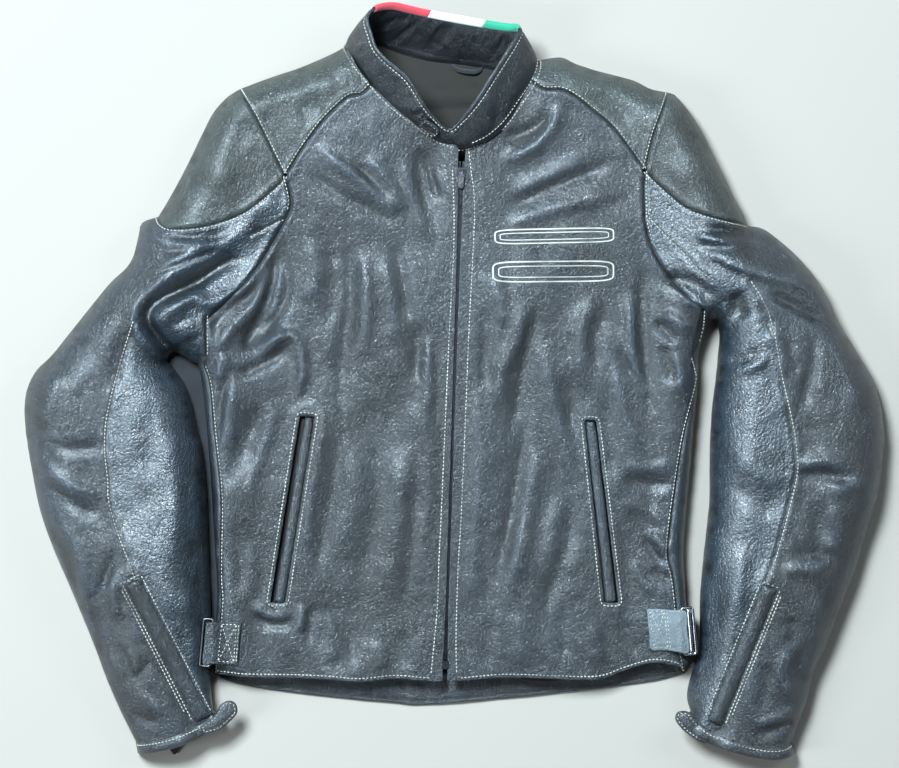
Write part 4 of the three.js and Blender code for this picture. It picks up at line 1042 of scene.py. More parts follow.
class Nodes:
    """A new material with its main shader, and short ways to add nodes to it."""

    def __init__(self, name):
        self.material = bpy.data.materials.new(name)
        MATERIALS[name] = self.material
        self.material.use_nodes = True
        self.tree = self.material.node_tree
        self.tree.nodes.clear()
        out = self.node("ShaderNodeOutputMaterial")
        self.shader = self.node("ShaderNodeBsdfPrincipled")
        self.tree.links.new(self.shader.outputs[0], out.inputs[0])

    def node(self, kind, **props):
        n = self.tree.nodes.new(kind)
        for key, value in props.items():
            setattr(n, key, value)
        return n

    def feed(self, socket, value):
        if hasattr(value, "is_linked"):
            self.tree.links.new(value, socket)
        else:
            socket.default_value = value

    def feed_all(self, n, **values):
        """Set inputs by name, with _ for a space."""
        for key, value in values.items():
            self.feed(n.inputs[key.replace("_", " ")], value)

    def shade(self, **values):
        self.feed_all(self.shader, **values)

    def coords(self, scale=(1, 1, 1)):
        """Rest place in mm."""
        a = self.node("ShaderNodeAttribute", attribute_name="rest")
        mapping = self.node("ShaderNodeMapping")
        self.feed_all(mapping, Scale=tuple(1000.0 * s for s in scale), Vector=a.outputs["Vector"])
        return mapping.outputs[0]

    def noise(self, vector, cell, detail=3.0, rough=0.55, distortion=0.0):
        n = self.node("ShaderNodeTexNoise")
        self.feed_all(n, Vector=vector, Scale=1.0 / cell, Detail=detail, Roughness=rough,
                      Distortion=distortion)
        return n.outputs["Fac"]

    def voronoi(self, vector, cell, feature="DISTANCE_TO_EDGE"):
        n = self.node("ShaderNodeTexVoronoi", feature=feature)
        self.feed_all(n, Vector=vector, Scale=1.0 / cell, Randomness=1.0)
        return n.outputs["Distance"]

    def bands(self, vector, direction, scale):
        n = self.node("ShaderNodeTexWave", wave_type='BANDS', bands_direction=direction)
        self.feed_all(n, Vector=vector, Scale=scale, Distortion=0.4)
        return n.outputs["Fac"]

    def math(self, operation, a, b):
        n = self.node("ShaderNodeMath", operation=operation)
        for socket, value in zip(n.inputs, (a, b, 0.0)):
            self.feed(socket, value)
        return n.outputs[0]

    def add(self, a, b):
        return self.math('ADD', a, b)

    def sub(self, a, b):
        return self.math('SUBTRACT', a, b)

    def mul(self, a, b):
        return self.math('MULTIPLY', a, b)

    def remap(self, value, start, end, low=0.0, high=1.0):
        """Smooth step from low to high as value goes from start to end."""
        n = self.node("ShaderNodeMapRange", interpolation_type="SMOOTHSTEP", clamp=True)
        self.feed_all(n, Value=value, From_Min=start, From_Max=end, To_Min=low, To_Max=high)
        return n.outputs["Result"]

    def mix(self, factor, a, b):
        n = self.node("ShaderNodeMix", data_type="RGBA")
        self.feed(n.inputs[0], factor)
        for i, v in ((6, a), (7, b)):
            self.feed(n.inputs[i], v if hasattr(v, "is_linked") else (*v, 1.0))
        return n.outputs[2]

    def attribute(self, name):
        return self.node("ShaderNodeAttribute", attribute_name=name).outputs["Fac"]

    def bump(self, height, depth):
        """Bump by a height map, depth in mm."""
        n = self.node("ShaderNodeBump")
        self.feed_all(n, Height=height, Distance=depth * MM, Strength=1.0)
        self.shade(Normal=n.outputs[0])


def colour(code):
    """Linear colour from a hex sRGB code."""
    c = [int(code[i:i + 2], 16) / 255 for i in (1, 3, 5)]
    return tuple(v / 12.92 if v <= 0.04045 else ((v + 0.055) / 1.055) ** 2.4 for v in c)


def scaled(col, factor):
    return tuple(x * factor for x in col)


def leather(name, dark, mid, light, rough, cell, grain, coat, pebbled=None, pebble=0.0):
    """Grained leather. cell: grain size in mm; grain, pebble: depths; pebbled: two colours
    for parts of the piece where the tone attribute is 1."""
    # light: the paler colour of rubbed wear and of painted sheen on the ridges
    dark, mid, light = colour(dark), colour(mid), colour(light)
    n = Nodes(name)
    v = n.coords()
    big = n.noise(v, cell=95, detail=3.0)
    med = n.noise(v, cell=21, detail=4.0, rough=0.6, distortion=0.4)
    fine = n.noise(v, cell=2.6, detail=3.0)
    cavity = n.attribute("cav")
    base = n.mix(n.remap(big, 0.36, 0.66), dark, mid)
    if pebbled:
        tone = n.attribute("tone")
        inner = n.mix(n.remap(med, 0.3, 0.7), colour(pebbled[0]), colour(pebbled[1]))
        base = n.mix(tone, base, inner)
    # paler leather on the tops of folds, partly rubbed wear and partly painted sheen, and rubbed
    # here and there on the flats
    wear_and_sheen = n.add(n.mul(n.add(med, big), 0.5), n.mul(cavity, 0.34))
    base = n.mix(n.mul(n.remap(wear_and_sheen, 0.50, 0.92), 0.5), base, light)
    # painted shade: darker in the creases
    crease_shade = n.remap(n.add(cavity, n.mul(n.sub(med, 0.5), 0.25)), -0.22, -0.95)
    base = n.mix(n.mul(crease_shade, 0.75), base, scaled(dark, 0.30))
    # grain: creased cells of two sizes; 0 in the creases, 1 on the cells
    cells = n.voronoi(v, cell)
    large_cells = n.voronoi(v, cell * 2.3)
    pits = n.mul(n.remap(cells, 0.0, 0.16), n.remap(large_cells, 0.0, 0.10, low=0.55))
    base = n.mix(n.mul(n.sub(1.0, pits), 0.40), base, scaled(dark, 0.4))
    # roughness: patchy, glossier on ridges, duller in the grain
    r = n.add(rough, n.mul(n.sub(med, 0.5), 0.30))
    r = n.add(r, n.mul(cavity, -0.04))
    r = n.add(r, n.mul(n.sub(1.0, pits), 0.10))
    if pebbled:
        r = n.sub(r, n.mul(tone, 0.04))
    r = n.math('MINIMUM', n.math('MAXIMUM', r, 0.22), 0.9)
    n.shade(Base_Color=base, Roughness=r, Specular_IOR_Level=0.95, Coat_Weight=coat,
            Coat_Roughness=0.36)
    # height: grain, pebbles, fine noise, a loose skin of large cells, stretch marks, swell
    amount, calm = grain, 1.0
    if pebbled:
        amount = n.sub(grain, n.mul(tone, grain * 0.7))
    h = n.mul(pits, amount)
    if pebbled:
        gaps = n.voronoi(v, 3.1)
        centre = n.voronoi(v, 3.1, feature="F1")
        mound = n.sub(1.0, n.mul(n.mul(centre, centre), 2.0))
        pebbles = n.add(n.mul(mound, 0.62), n.mul(n.remap(gaps, 0.0, 0.2), 0.45))
        h = n.add(h, n.mul(n.mul(pebbles, tone), pebble * 0.52))
        calm = n.sub(1.0, n.mul(tone, 0.55))
    h = n.add(h, n.mul(n.mul(fine, 0.42), calm))
    skin = n.voronoi(n.coords((1.0, 0.8, 1.0)), cell * 3.6)
    skin_depth = n.mul(n.remap(med, 0.35, 0.7, low=0.3), grain * 1.3)
    h = n.add(h, n.mul(n.remap(skin, 0.0, 0.16), skin_depth))
    stretch = n.noise(n.coords((1.0, 0.33, 1.0)), cell=5.5, detail=2.0, rough=0.5, distortion=0.8)
    h = n.add(h, n.mul(stretch, 0.55))
    n.bump(n.add(h, n.mul(med, 1.0)), depth=1.0)


def fabric(name, dark, light, pitch=0.9, rough=0.85, depth=0.12, sheen=0.25, tint=0.6):
    """Woven cloth. pitch: thread spacing; depth: of the weave; tint: share of the light colour."""
    dark, light = colour(dark), colour(light)
    n = Nodes(name)
    v = n.coords()
    weave = n.math('MAXIMUM', *[n.bands(v, axis, scale=0.314 / pitch) for axis in 'XY'])
    big = n.noise(v, cell=40, detail=4.0)
    base = n.mix(n.mul(n.add(n.mul(weave, 0.4), big), tint), dark, light)
    # painted shade: the cloth darker in its hollows
    hollow = n.remap(n.attribute("cav"), -0.1, -0.8, high=0.7)
    n.shade(Base_Color=n.mix(hollow, base, scaled(dark, 0.4)),
            Roughness=n.add(rough - 0.05, n.mul(big, 0.12)), Sheen_Weight=sheen)
    n.bump(n.add(weave, n.mul(big, 1.5)), depth)


def metal(name, clean, dirt, rough):
    n = Nodes(name)
    v = n.coords()
    patches = n.noise(v, cell=7, detail=4.0)
    fine = n.noise(v, cell=0.8, detail=3.0)
    n.shade(Base_Color=n.mix(n.remap(patches, 0.45, 0.75, high=0.7), colour(clean), colour(dirt)),
            Metallic=1.0, Roughness=n.add(rough, n.mul(n.sub(fine, 0.5), 0.18)))
    n.bump(n.add(fine, patches), depth=0.03)


def thread(name, light, dark):
    light, dark = colour(light), colour(dark)
    n = Nodes(name)
    patches = n.noise(n.coords(), cell=30, detail=3.0)
    fibre = n.noise(n.coords(), cell=0.35, detail=2.0)
    base = n.mix(n.remap(patches, 0.35, 0.75), light, dark)
    base = n.mix(n.remap(fibre, 0.5, 0.8, high=0.5), base, dark)
    n.shade(Base_Color=base, Roughness=0.75, Sheen_Weight=0.2)
    n.bump(fibre, depth=0.15)


def foam(name, dark, light):
    n = Nodes(name)
    v = n.coords()
    cells = n.voronoi(v, 1.3, "F1")
    patches = n.noise(v, cell=18, detail=3.0)
    n.shade(Base_Color=n.mix(n.remap(patches, 0.3, 0.7), colour(dark), colour(light)),
            Roughness=n.add(0.78, n.mul(patches, 0.12)))
    n.bump(cells, depth=0.25)


# The third colour of each leather is its paler one, for rubbed wear and painted sheen on the
# ridges.
leather("leather_navy", '#0c1013', '#151b20', '#323c45', rough=0.355, cell=1.25, grain=0.22,
        coat=0.14, pebbled=('#141b20', '#242e36'), pebble=0.40)
leather("leather_olive", '#151915', '#222824', '#404843', rough=0.39, cell=1.25, grain=0.22,
        coat=0.1)
leather("leather_trim", '#0a0d10', '#13181c', '#333d45', rough=0.36, cell=1.1, grain=0.18,
        coat=0.18)
# Paler copy of the leather for the left waist tab: painted glare.
leather("leather_light", '#464f54', '#656f74', '#8e989c', rough=0.38, cell=1.1, grain=0.18,
        coat=0.15)
leather("zip_pull_leather", '#0f0c13', '#1e1928', '#3e364e', rough=0.38, cell=0.9, grain=0.12,
        coat=0.2)
fabric("lining", '#100e0a', '#28231b')
fabric("pocket_cloth", '#15151a', '#2a2a30', pitch=0.7)
fabric("zip_tape", '#0d0e11', '#23252a', pitch=0.6, rough=0.8)
for name, dark, light, tint in (("binding_red", '#9c1f2c', '#d8404c', 0.8),
                                ("binding_white", '#a3a094', '#dedbd1', 0.9),
                                ("binding_green", '#0b6a4d', '#1ba27c', 0.8)):
    fabric(name, dark, light, pitch=0.7, rough=0.7, depth=0.10, sheen=0.3, tint=tint)
foam("protector_foam", '#1d1f22', '#34373b')
metal("zip_metal", clean='#4a4950', dirt='#1d1c20', rough=0.34)
metal("ring_metal", clean='#b9bcc0', dirt='#6b6a66', rough=0.22)
metal("ring_metal_dark", clean='#5e5c5c', dirt='#2a2624', rough=0.33)
thread("thread_cream", light='#c9c6b8', dark='#7d7b72')
thread("thread_dark", light='#3a3b3a', dark='#1d1e1e')
thread("mark_cream", light='#cbc8bc', dark='#8b8980')

# Sleeve bodies for each side: the torso, the forearm and two points, start and end; the pieces
# given these are not blended or attached but stay where they are made.
ELBOW = {
    'R': ("torso", "right_forearm", (-0.330, 0.062, 0.03), (-0.345, -0.112, 0.03)),
    'L': ("torso", "left_forearm", (0.345, 0.062, 0.03), (0.352, -0.112, 0.03)),
}


def finish(o, material, body, replaces=(), slot=None):
    """Give a piece its material, the body it rides (a tuple of bodies leaves it unattached, where
    it was made) and the CAD nodes it replaces. slot: not used."""
    o.data.materials.clear()
    o.data.materials.append(MATERIALS[material])
    if isinstance(body, tuple):
        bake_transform(o)
    else:
        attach(o, body)
    if replaces:
        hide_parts(*([replaces] if isinstance(replaces, str) else replaces))
    slot = material if slot is None else slot
    return o


# ------------------------------------------------------------------ panels
def front_edge(side):
    """Front edge beside the zip, top to bottom."""
    y = np.linspace(236.5, -297, 120)
    gap = np.interp(y, [-297, -288, -262, -220, -20, 130, 190, 210, 226, 237],
                    [2.8, 2.6, 1.9, 1.5, 1.4, 1.7, 2.4, 3.1, 3.5, 3.7])
    return beside_zip(y, SIGN[side], gap)


def seam_part(name, side):
    return (LINE[name + '_' + side], 'seam')


def seam_back(name, side):
    """A seam run the other way."""
    return (LINE[name + '_' + side][::-1], 'seam')


def side_top(side):
    """Short seam from the armpit edge to the side seam."""
    return (np.array([LINE['side_edge_' + side][0], LINE['side_seam_' + side][0]]), 'seam')


FRONT_NECK = {'R': LINE['neck'][3:8], 'L': LINE['neck'][13:8:-1]}
YOKE_NECK = {'R': LINE['neck'][:4], 'L': LINE['neck'][13:15][::-1]}
# Ends added to the sleeve seam to part the two tones of the sleeve: above it, below it.
TONE_ENDS = {'R': (points([-300,80, -312,62]), points([-312,-193, -247.5,-333, -235,-360])),
             'L': (points([285,130, 297,101]), points([313,-197, 264,-340, 255,-370]))}


def front(side):
    edge = front_edge(side)
    hem = LINE['hem_' + side]
    o = panel("front_" + WORD[side],
              [(np.vstack([FRONT_NECK[side], edge[:1]]), 'seam'), (edge, 'fold'),
               (hem[::-1] if side == 'R' else hem, 'fold'), seam_back('side_seam', side),
               seam_back('armhole_low', side), seam_back('yoke', side)],
              holes=[soft_rectangle(POCKET_CORNERS[side])])
    finish(o, 'leather_navy', 'torso', 'front_panel_' + WORD[side])


def yoke(side):
    o = panel("yoke_" + WORD[side],
              [(YOKE_NECK[side], 'seam'), seam_part('yoke', side),
               seam_part('armhole_top', side), (LINE['shoulder_' + side][::-1], 'free')])
    finish(o, 'leather_olive', 'torso', 'shoulder_yoke_' + WORD[side])


def shoulder_cap(side):
    o = panel("cap_" + WORD[side],
              [seam_part('cap', side), (LINE['cap_edge_' + side][::-1], 'free'),
               seam_back('armhole_top', side)])
    finish(o, 'leather_olive', 'torso', 'shoulder_cap_' + WORD[side])


def side_panel(side):
    o = panel("side_" + WORD[side],
              [seam_part('side_seam', side), (LINE['side_edge_' + side][::-1], 'free'),
               side_top(side)])
    finish(o, 'leather_trim', 'torso', 'side_panel_' + WORD[side])


def sleeve_tone(side):
    """1 on the pebbled inner panel of the sleeve, 0 on the smooth outer one."""
    above, below_seam = TONE_ENDS[side]
    line = np.vstack([above, spline(LINE['sleeve_seam_' + side], 5), below_seam])

    def tone(verts):
        # travel runs down the arm: the inner panel is towards the body
        d, _, s = line_dist(verts[:, :2], line)
        return ease(0.5 - SIGN[side] * s * d / 1.2)
    return tone


def sleeve(side):
    free = [(LINE[name + side], 'free') for name in ('sleeve_outer_', 'sleeve_inner_', 'armpit_')]
    o = panel("sleeve_" + WORD[side],
              [seam_part('cap', side), free[0], seam_part('cuff_seam', side), *free[1:],
               side_top(side), seam_back('armhole_low', side)], tone=sleeve_tone(side))
    finish(o, 'leather_navy', ELBOW[side],
           ['upper_sleeve_' + WORD[side], 'forearm_sleeve_' + WORD[side]])


for build in (front, yoke, shoulder_cap, side_panel, sleeve):
    for side in 'RL':
        build(side)


# ------------------------------------------------------------------ sheets and pads
def slab(name, ring, low, high, step, material, body, replaces=(), rounded=0.0, slot=None):
    """Closed soft sheet or pad over a plan outline; low and high give its heights."""
    V, F, index, _ = fill_outline(ring, (0.8, 2.4, 5.0), step)
    lo, hi = low(V), high(V)
    mid = 0.5 * (lo + hi)
    f = 1.0
    if rounded:
        f = 0.12 + 0.88 * dome(distance(V, closed(ring)) / rounded)
    o = double_sheet(name, ring, F, index, np.column_stack([V, mid + (hi - mid) * f]),
                     np.column_stack([V, mid + (lo - mid) * f]))
    shader_attributes(o, relief(o, 8, 1.2))
    return finish(o, material, body, replaces, slot)


def soft_tab(name, outline, height, thickness, crown, edge, material, body, replaces=()):
    """Padded leather tab: closed, rounded edge, slightly crowned."""
    ring = spline(closed(outline), 1.6)[:-1]
    V, F, index, _ = fill_outline(ring, (0.35, 0.9, 1.8), 1.6)
    d = distance(V, closed(ring))
    f = dome(d / edge)
    base = height(V)
    half = thickness * 0.5
    bead = 0.35 * bell((d - 1.3) / 0.8) - 0.35 * bell((d - 2.8) / 0.7)
    top = base + half + half * f + crown * ease(d / 8) + bead
    top = top + 0.15 * noise(V[:, 0], V[:, 1], 5, 44)
    o = double_sheet(name, ring, F, index, np.column_stack([V, top]),
                     np.column_stack([V, base + half - half * f]))
    shader_attributes(o, relief(o, 6, 0.7))
    return finish(o, material, body, replaces)


# ------------------------------------------------------------------ backs, on the ground
BACK_YOKE_GAP = (188.5, 191.5)      # y of the upper edge of the lower back, lower edge of the yoke


def flat_z(lo, swell, cell, seed):
    return lambda V: lo + swell * (0.5 + 0.5 * noise(V[:, 0], V[:, 1], cell, seed))


def clip_ring(P, y0, y1):
    """The part of a closed outline between two heights in y."""
    out = []
    for a, b in zip(P, np.roll(P, -1, axis=0)):
        if y0 <= a[1] <= y1:
            out.append(a)
        for cut in ((y0, y1) if a[1] < b[1] else (y1, y0)):
            if (a[1] - cut) * (b[1] - cut) < 0:
                out.append(a + (b - a) * ((cut - a[1]) / (b[1] - a[1])))
    keep = [out[0]]
    for p in out[1:]:
        if np.linalg.norm(p - keep[-1]) > 0.8:
            keep.append(p)
    return divided(np.array(keep), lambda length: int(length / 5))


def armpit_gap(side):
    return np.array([LINE['side_edge_' + side][0], LINE['armhole_low_' + side][-1]])


def backs():
    ring = join_ring(
        LINE['shoulder_R'], LINE['armhole_top_R'][::-1], LINE['armhole_low_R'],
        armpit_gap('R')[::-1], LINE['side_edge_R'], LINE['back_hem'][1:-1],
        LINE['side_edge_L'][::-1], armpit_gap('L'), LINE['armhole_low_L'][::-1],
        LINE['armhole_top_L'], LINE['shoulder_L'][::-1], LINE['back_neck'][1:-1])
    ring = inset(ring, 3.0)
    slab("back_lower", clip_ring(ring, -400, BACK_YOKE_GAP[0]), flat_z(0.0, 0.25, 60, 31),
         flat_z(1.5, 0.5, 60, 31), 6, 'leather_navy', 'torso', 'back_panel')
    slab("back_upper", clip_ring(ring, BACK_YOKE_GAP[1], 400), flat_z(0.0, 0.25, 60, 32),
         flat_z(1.5, 0.5, 60, 32), 6, 'leather_olive', 'torso', 'back_yoke')
    for side in 'RL':
        lines = [LINE[name + '_' + side] for name in EDGE_NAMES[1:6]]
        ring = join_ring(*lines, armpit_gap(side), LINE['armhole_low_' + side][::-1],
                         LINE['armhole_top_' + side])
        slab("sleeve_back_" + WORD[side], inset(ring, 8.0), flat_z(0.0, 0.3, 50, 33),
             flat_z(1.5, 0.6, 50, 33), 6, 'leather_navy', ELBOW[side])


backs()

# ------------------------------------------------------------------ cuffs
# Cuff band sections: distance out from the cuff seam, height.
# The top is measured from the leather and runs round the open end and back in.
CUFF_TOP = [(-1.4, -1.6), (-0.6, -0.2), (0.6, 0.5), (2.2, 0.6), (4.0, 0.9), (6.0, 0.9),
            (8.5, 0.5), (10.5, -0.6), (11.6, -2.2), (11.4, -3.6), (10.0, -4.4), (6.0, -4.6),
            (1.0, -4.8)]
CUFF_UNDER = [(1.0, 3.4), (6.0, 3.2), (10.0, 3.2), (11.6, 2.4), (11.4, 1.1), (10.0, 0.5),
              (6.0, 0.35), (0.0, 0.35), (-6.0, 0.4)]
STRAP_END = points([-286.5,-359.5, -266.5,-356, -269.0,-361.5, -274.5,-370.5, -277.5,-373.2,
                    -281.0,-370.0])
# Rounded closing tabs at the inner end of each cuff.
CUFF_TAB = {
    'R': points([-245.4,-350.8, -241.3,-349, -231,-346, -219,-336.5, -212.3,-328, -214,-319,
                 -221,-316, -229,-320, -233.5,-328, -240,-335, -247.2,-340.2, -249.6,-343.4]),
    'L': points([262,-360, 252,-358.5, 242,-353, 232.5,-345.5, 225.3,-336, 226,-329.5,
                 229,-327, 236,-326.7, 241,-330, 246,-336.5, 253,-343, 262,-347.5]),
}


def cuff_band(side):
    """Returns the seam line, its normals away from the sleeve, and its height."""
    word = WORD[side]
    body = word + '_forearm'
    line = spline(LINE['cuff_seam_' + side], 2.5)
    n = left_normals(line) * SIGN[side]
    z = drape(line, grooves=False)
    s = np.linspace(0, 1, len(line))
    ripple = 0.9 * noise(s * 100, s * 0, 14, 41)
    rows = [np.column_stack([line + n * u,
                             z + dz + ripple * ease(u / 6) * (1 if dz > -2 else 0.6)])
            for u, dz in CUFF_TOP]
    top = grid_mesh("cuff_top_" + word, rows, 1.1, up=True)
    finish(top, 'leather_trim', body, 'cuff_band_' + word)
    rows = [np.column_stack([line + n * u, height + 0.2 * ripple]) for u, height in CUFF_UNDER]
    under = grid_mesh("cuff_under_" + word, rows, 0.9, up=True)
    finish(under, 'leather_trim', body)
    # the two rolled ends that join the upper and lower layers
    for end, (i, beside) in enumerate(((0, 1), (-1, -2))):
        p = line[i]
        t = unit(p - line[beside])
        rows = []
        for a in np.linspace(0, math.pi, 13):
            height = 0.5 * (z[i] + 0.5) + 0.5 * (z[i] - 0.5) * math.cos(a)
            height = 0.6 + (height - 0.6) * 0.97
            out = 2.6 * max(0.0, math.sin(a)) ** 0.8
            rows.append([[*(p + n[i] * u + t * (out - 1.6)), height]
                         for u in np.linspace(-2.0, 10.6, 9)])
        roll = grid_mesh("cuff_end_%s_%d" % (word, end), rows, 1.2,
                         away=[*(p + n[i] * 5 - t * 12), z[i] / 2])
        finish(roll, 'leather_trim', body)
    return line, n, z


CUFF = {side: cuff_band(side) for side in 'RL'}


def cuff_tab_height(side):
    line, _, z = CUFF[side]
    start = float(z[-4]) + 1.6

    def height(V):
        d = np.linalg.norm(V - line[-1], axis=1)
        return (start + 0.4 - 0.06 * np.maximum(0, d - 8)
                + 0.3 * noise(V[:, 0], V[:, 1], 12, 45))
    return height


soft_tab("cuff_strap_end", STRAP_END, lambda V: np.full(len(V), 2.2), thickness=1.8, crown=0.2,
         edge=0.9, material='zip_tape', body='right_forearm')
for side, word in WORD.items():
    soft_tab("cuff_tab_%s_piece" % word, CUFF_TAB[side], cuff_tab_height(side), thickness=2.4,
             crown=0.8, edge=1.6, material='leather_trim', body=word + '_cuff_tab',
             replaces='cuff_tab_' + word)

# Sections across a cuff zip: distance across, height. The flap, then the tape under it.
FLAP_SECTION = [(-8.2, -1.2), (-8.0, 0.1), (-7.4, 0.9), (-6.2, 1.6), (-4.0, 2.9), (-2, 3.5),
                (0, 3.7), (2, 3.5), (4.0, 2.9), (6.2, 1.5), (7.4, 0.8), (8.0, 0.1), (8.2, -1.2)]
TAPE_SECTION = [(-2.5, -0.6), (-2.4, 0.6), (0, 0.9), (2.4, 0.6), (2.5, -0.6)]


def cuff_zip_axes(side):
    """Lower end, direction up the zip, direction to its left, and length."""
    low, high = CUFF_ZIP[side][:2]
    d = unit(high - low)
    return low, d, np.array([-d[1], d[0]]), np.linalg.norm(high - low)


def cuff_zip(side):
    """Flap over the cuff zip, and the tape under it."""
    word = WORD[side]
    low, d, n, length = cuff_zip_axes(side)
    rows = []
    for t in np.arange(-2.0, length + 2.6, 1.8):
        end = min(ease((t + 2.0) / 5.0), ease((length + 2.6 - t) / 5.0))
        rows.append([[*(low + d * t + n * w), up * (0.35 + 0.65 * float(end))]
                     for w, up in FLAP_SECTION])
    P = np.array(rows)
    z = drape(P[:, :, :2].reshape(-1, 2)).reshape(P.shape[:2])
    P[:, :, 2] += z + 0.25 * noise(P[:, :, 0], P[:, :, 1], 9, 47)
    o = grid_mesh("cuff_flap_" + word, P, 1.1, up=True)
    finish(o, 'leather_navy', word + '_forearm', 'cuff_zip_flap_' + word)
    Q = np.array([[[*(low + d * t + n * w), up] for w, up in TAPE_SECTION]
                  for t in np.arange(3.0, length - 1.0, 3.0)])
    place, axis = CUFF_ZIP[side][2:]
    s = (Q[:, :, :2].reshape(-1, 2) - place[:2]) @ axis[:2]
    rise = place[2] - 2.4 + s / math.hypot(axis[0], axis[1]) * axis[2]
    Q[:, :, 2] += rise.reshape(Q.shape[:2])
    o = grid_mesh("cuff_chain_" + word, Q, 0.6, up=True)
    finish(o, 'zip_tape', word + '_forearm', 'cuff_zip_chain_' + word)


for side in 'RL':
    cuff_zip(side)

# ------------------------------------------------------------------ linings and padding inside
LINING_BACK = points([
    -243,58, -243,20, -238,-40, -228,-134, -224,-200, -216,-256, -100,-262, 100,-262, 216,-252,
    226,-200, 229,-134, 235,-40, 240,25, 236,60, 206,92, 182,150, 182,205, 196,262, 150,296,
    92,316, 84,317, 66,317, 42,317.5, 12,321, -18,325, -47,332.5, -70,341, -84,344, -100,334,
    -110,318, -180,290, -196,268, -160,205, -156,170, -178,122, -236,70])
LINING_FRONT = {
    'R': points([-92,270, -112,258, -150,205, -142,165, -178,118, -220,62, -222,0, -208,-100,
                 -205,-262, -46,-266, *beside_zip(-262, -1, 46), *beside_zip(220, -1, 46),
                 -58,262]),
    'L': points([84,268, 112,262, 168,205, 172,150, 196,90, 222,40, 222,-20, 200,-120,
                 200,-250, *beside_zip(-262, 1, 46), *beside_zip(220, 1, 46), 62,250]),
}
POCKET_BAG = {
    'R': points([-140,-30, -66,-36, -62,-190, -84,-236, -150,-240, -174,-220, -168,-190]),
    'L': points([140,-34, 76,-40, 72,-190, 92,-236, 150,-240, 162,-220, 158,-190]),
}
# Protectors: part, side, body, centre x, y, radius x, y, lean, depths below the leather of
# the underside and the top, places of the cross channels (-1 to 1 along y).
ELBOW_CHANNELS = (-0.6, -0.2, 0.2, 0.6)
PROTECTORS = [
    ('shoulder', 'right', 'torso', -214, 222, 32, 36, 14, 11.6, 4.4, (-0.4, 0.4)),
    ('shoulder', 'left', 'torso', 231, 224, 28, 34, -10, 11.6, 4.4, (-0.4, 0.4)),
    ('elbow', 'right', 'right_forearm', -352, -66, 44, 84, 8, 12.8, 4.6, ELBOW_CHANNELS),
    ('elbow', 'left', 'left_forearm', 366, -66, 44, 84, -8, 12.8, 4.6, ELBOW_CHANNELS),
]


def below(depth, swell=0.5, seed=54):
    """Height function for a layer some depth under the leather."""
    def height(V):
        plain = drape(V, detail=False, grooves=False) - depth
        return np.minimum(plain + swell * noise(V[:, 0], V[:, 1], 22, seed),
                          drape(V) - 0.72 * depth)
    return height


def lining_height(V):
    x, y = V[:, 0], V[:, 1]
    z = 14.8 - 6.6 * ease((y - 262) / 58)
    z += 1.0 * noise(x, y, 55, 51) + 0.7 * noise(x, y, 24, 52) + 0.25 * noise(x, y, 9, 53)
    # a ridge and a groove across, below the neck
    z += 2.2 * bell((y - (288 + 0.06 * x)) / 6.0) - 2.4 * bell((y - (279 + 0.06 * x)) / 4.0)
    return z


def linings():
    slab("lining_back_sheet", join_ring(LINING_BACK, step=5), lambda V: lining_height(V) - 0.9,
         lining_height, 4.5, 'lining', 'torso', 'lining_back')
    for side, word in WORD.items():
        slab("lining_front_%s_sheet" % word, join_ring(closed(LINING_FRONT[side]), step=5),
             below(9.6), below(8.6), 6, 'lining', 'torso', 'lining_front_' + word)
    y = np.linspace(-284, 222, 60)
    for side, word in WORD.items():
        s = SIGN[side]
        ring = np.vstack([beside_zip(y, s, 5), beside_zip(y, s, 44 + 1.5 * np.sin(y / 40))[::-1]])
        slab("front_facing_" + word, ring, below(6.9, 0.2), below(5.4, 0.2), 5, 'leather_trim',
             'torso', 'zip_facing_' + word, rounded=1.2)
        ring = np.vstack([beside_zip(y, s, 0.9), beside_zip(y, s, 15)[::-1]])
        slab("front_tape_" + word, ring, below(4.9, 0.0), below(4.0, 0.0), 5, 'zip_tape',
             'torso', 'zip_tape_' + word)
    for side, word in WORD.items():
        slab("pocket_bag_%s_cloth" % word, join_ring(closed(POCKET_BAG[side])),
             below(8.2, 0.5, 55), below(3.9, 0.5, 56), 5, 'pocket_cloth', 'torso',
             'pocket_bag_' + word, rounded=9, slot='lining')


def protector(part, word, body, cx, cy, rx, ry, lean, low_depth, top_depth, channels):
    """Oval foam pad with cross channels and rows of holes."""
    a = np.linspace(0, 2 * math.pi, 90, endpoint=False)
    ring = np.stack([cx + rx * np.cos(a) + lean * np.sin(a), cy + ry * np.sin(a)], 1)

    def top(V):
        u, w = (V[:, 0] - cx) / rx, (V[:, 1] - cy) / ry
        z = below(top_depth, 0)(V) - 2.2 * (u * u + w * w)
        for k in channels:
            z -= 1.4 * bell((w - k) * ry / 2.2)
        to_hole = np.hypot((V[:, 0] / 9.0) % 1 - 0.5, (V[:, 1] / 9.0) % 1 - 0.5)
        return z - 1.2 * bell(to_hole / 0.16)
    slab("%s_pad_%s" % (part, word), ring, below(low_depth, 0), top, 2.6, 'protector_foam',
         body, "%s_protector_%s" % (part, word), rounded=5)


def back_protector():
    """Plate across the back, with cross grooves and one groove down the middle."""
    ring = []
    for i in range(120):
        a = i / 120 * math.pi * 2
        s, c = math.sin(a), math.cos(a)
        ring.append((math.copysign(abs(c) ** 0.7, c) * (125 + 25 * s),
                     -10 + math.copysign(abs(s) ** 0.8, s) * 185))

    def top(V):
        z = np.full(len(V), 12.9) - 0.9 * np.abs(V[:, 0]) / 130
        for k in range(-150, 151, 50):
            z -= 1.6 * bell((V[:, 1] - k - 0.03 * np.abs(V[:, 0])) / 2.4)
        return z - 1.4 * bell(V[:, 0] / 2.4)
    slab("back_plate_foam", np.array(ring), lambda V: np.full(len(V), 2.5), top, 4,
         'protector_foam', 'torso', 'back_protector', rounded=5)


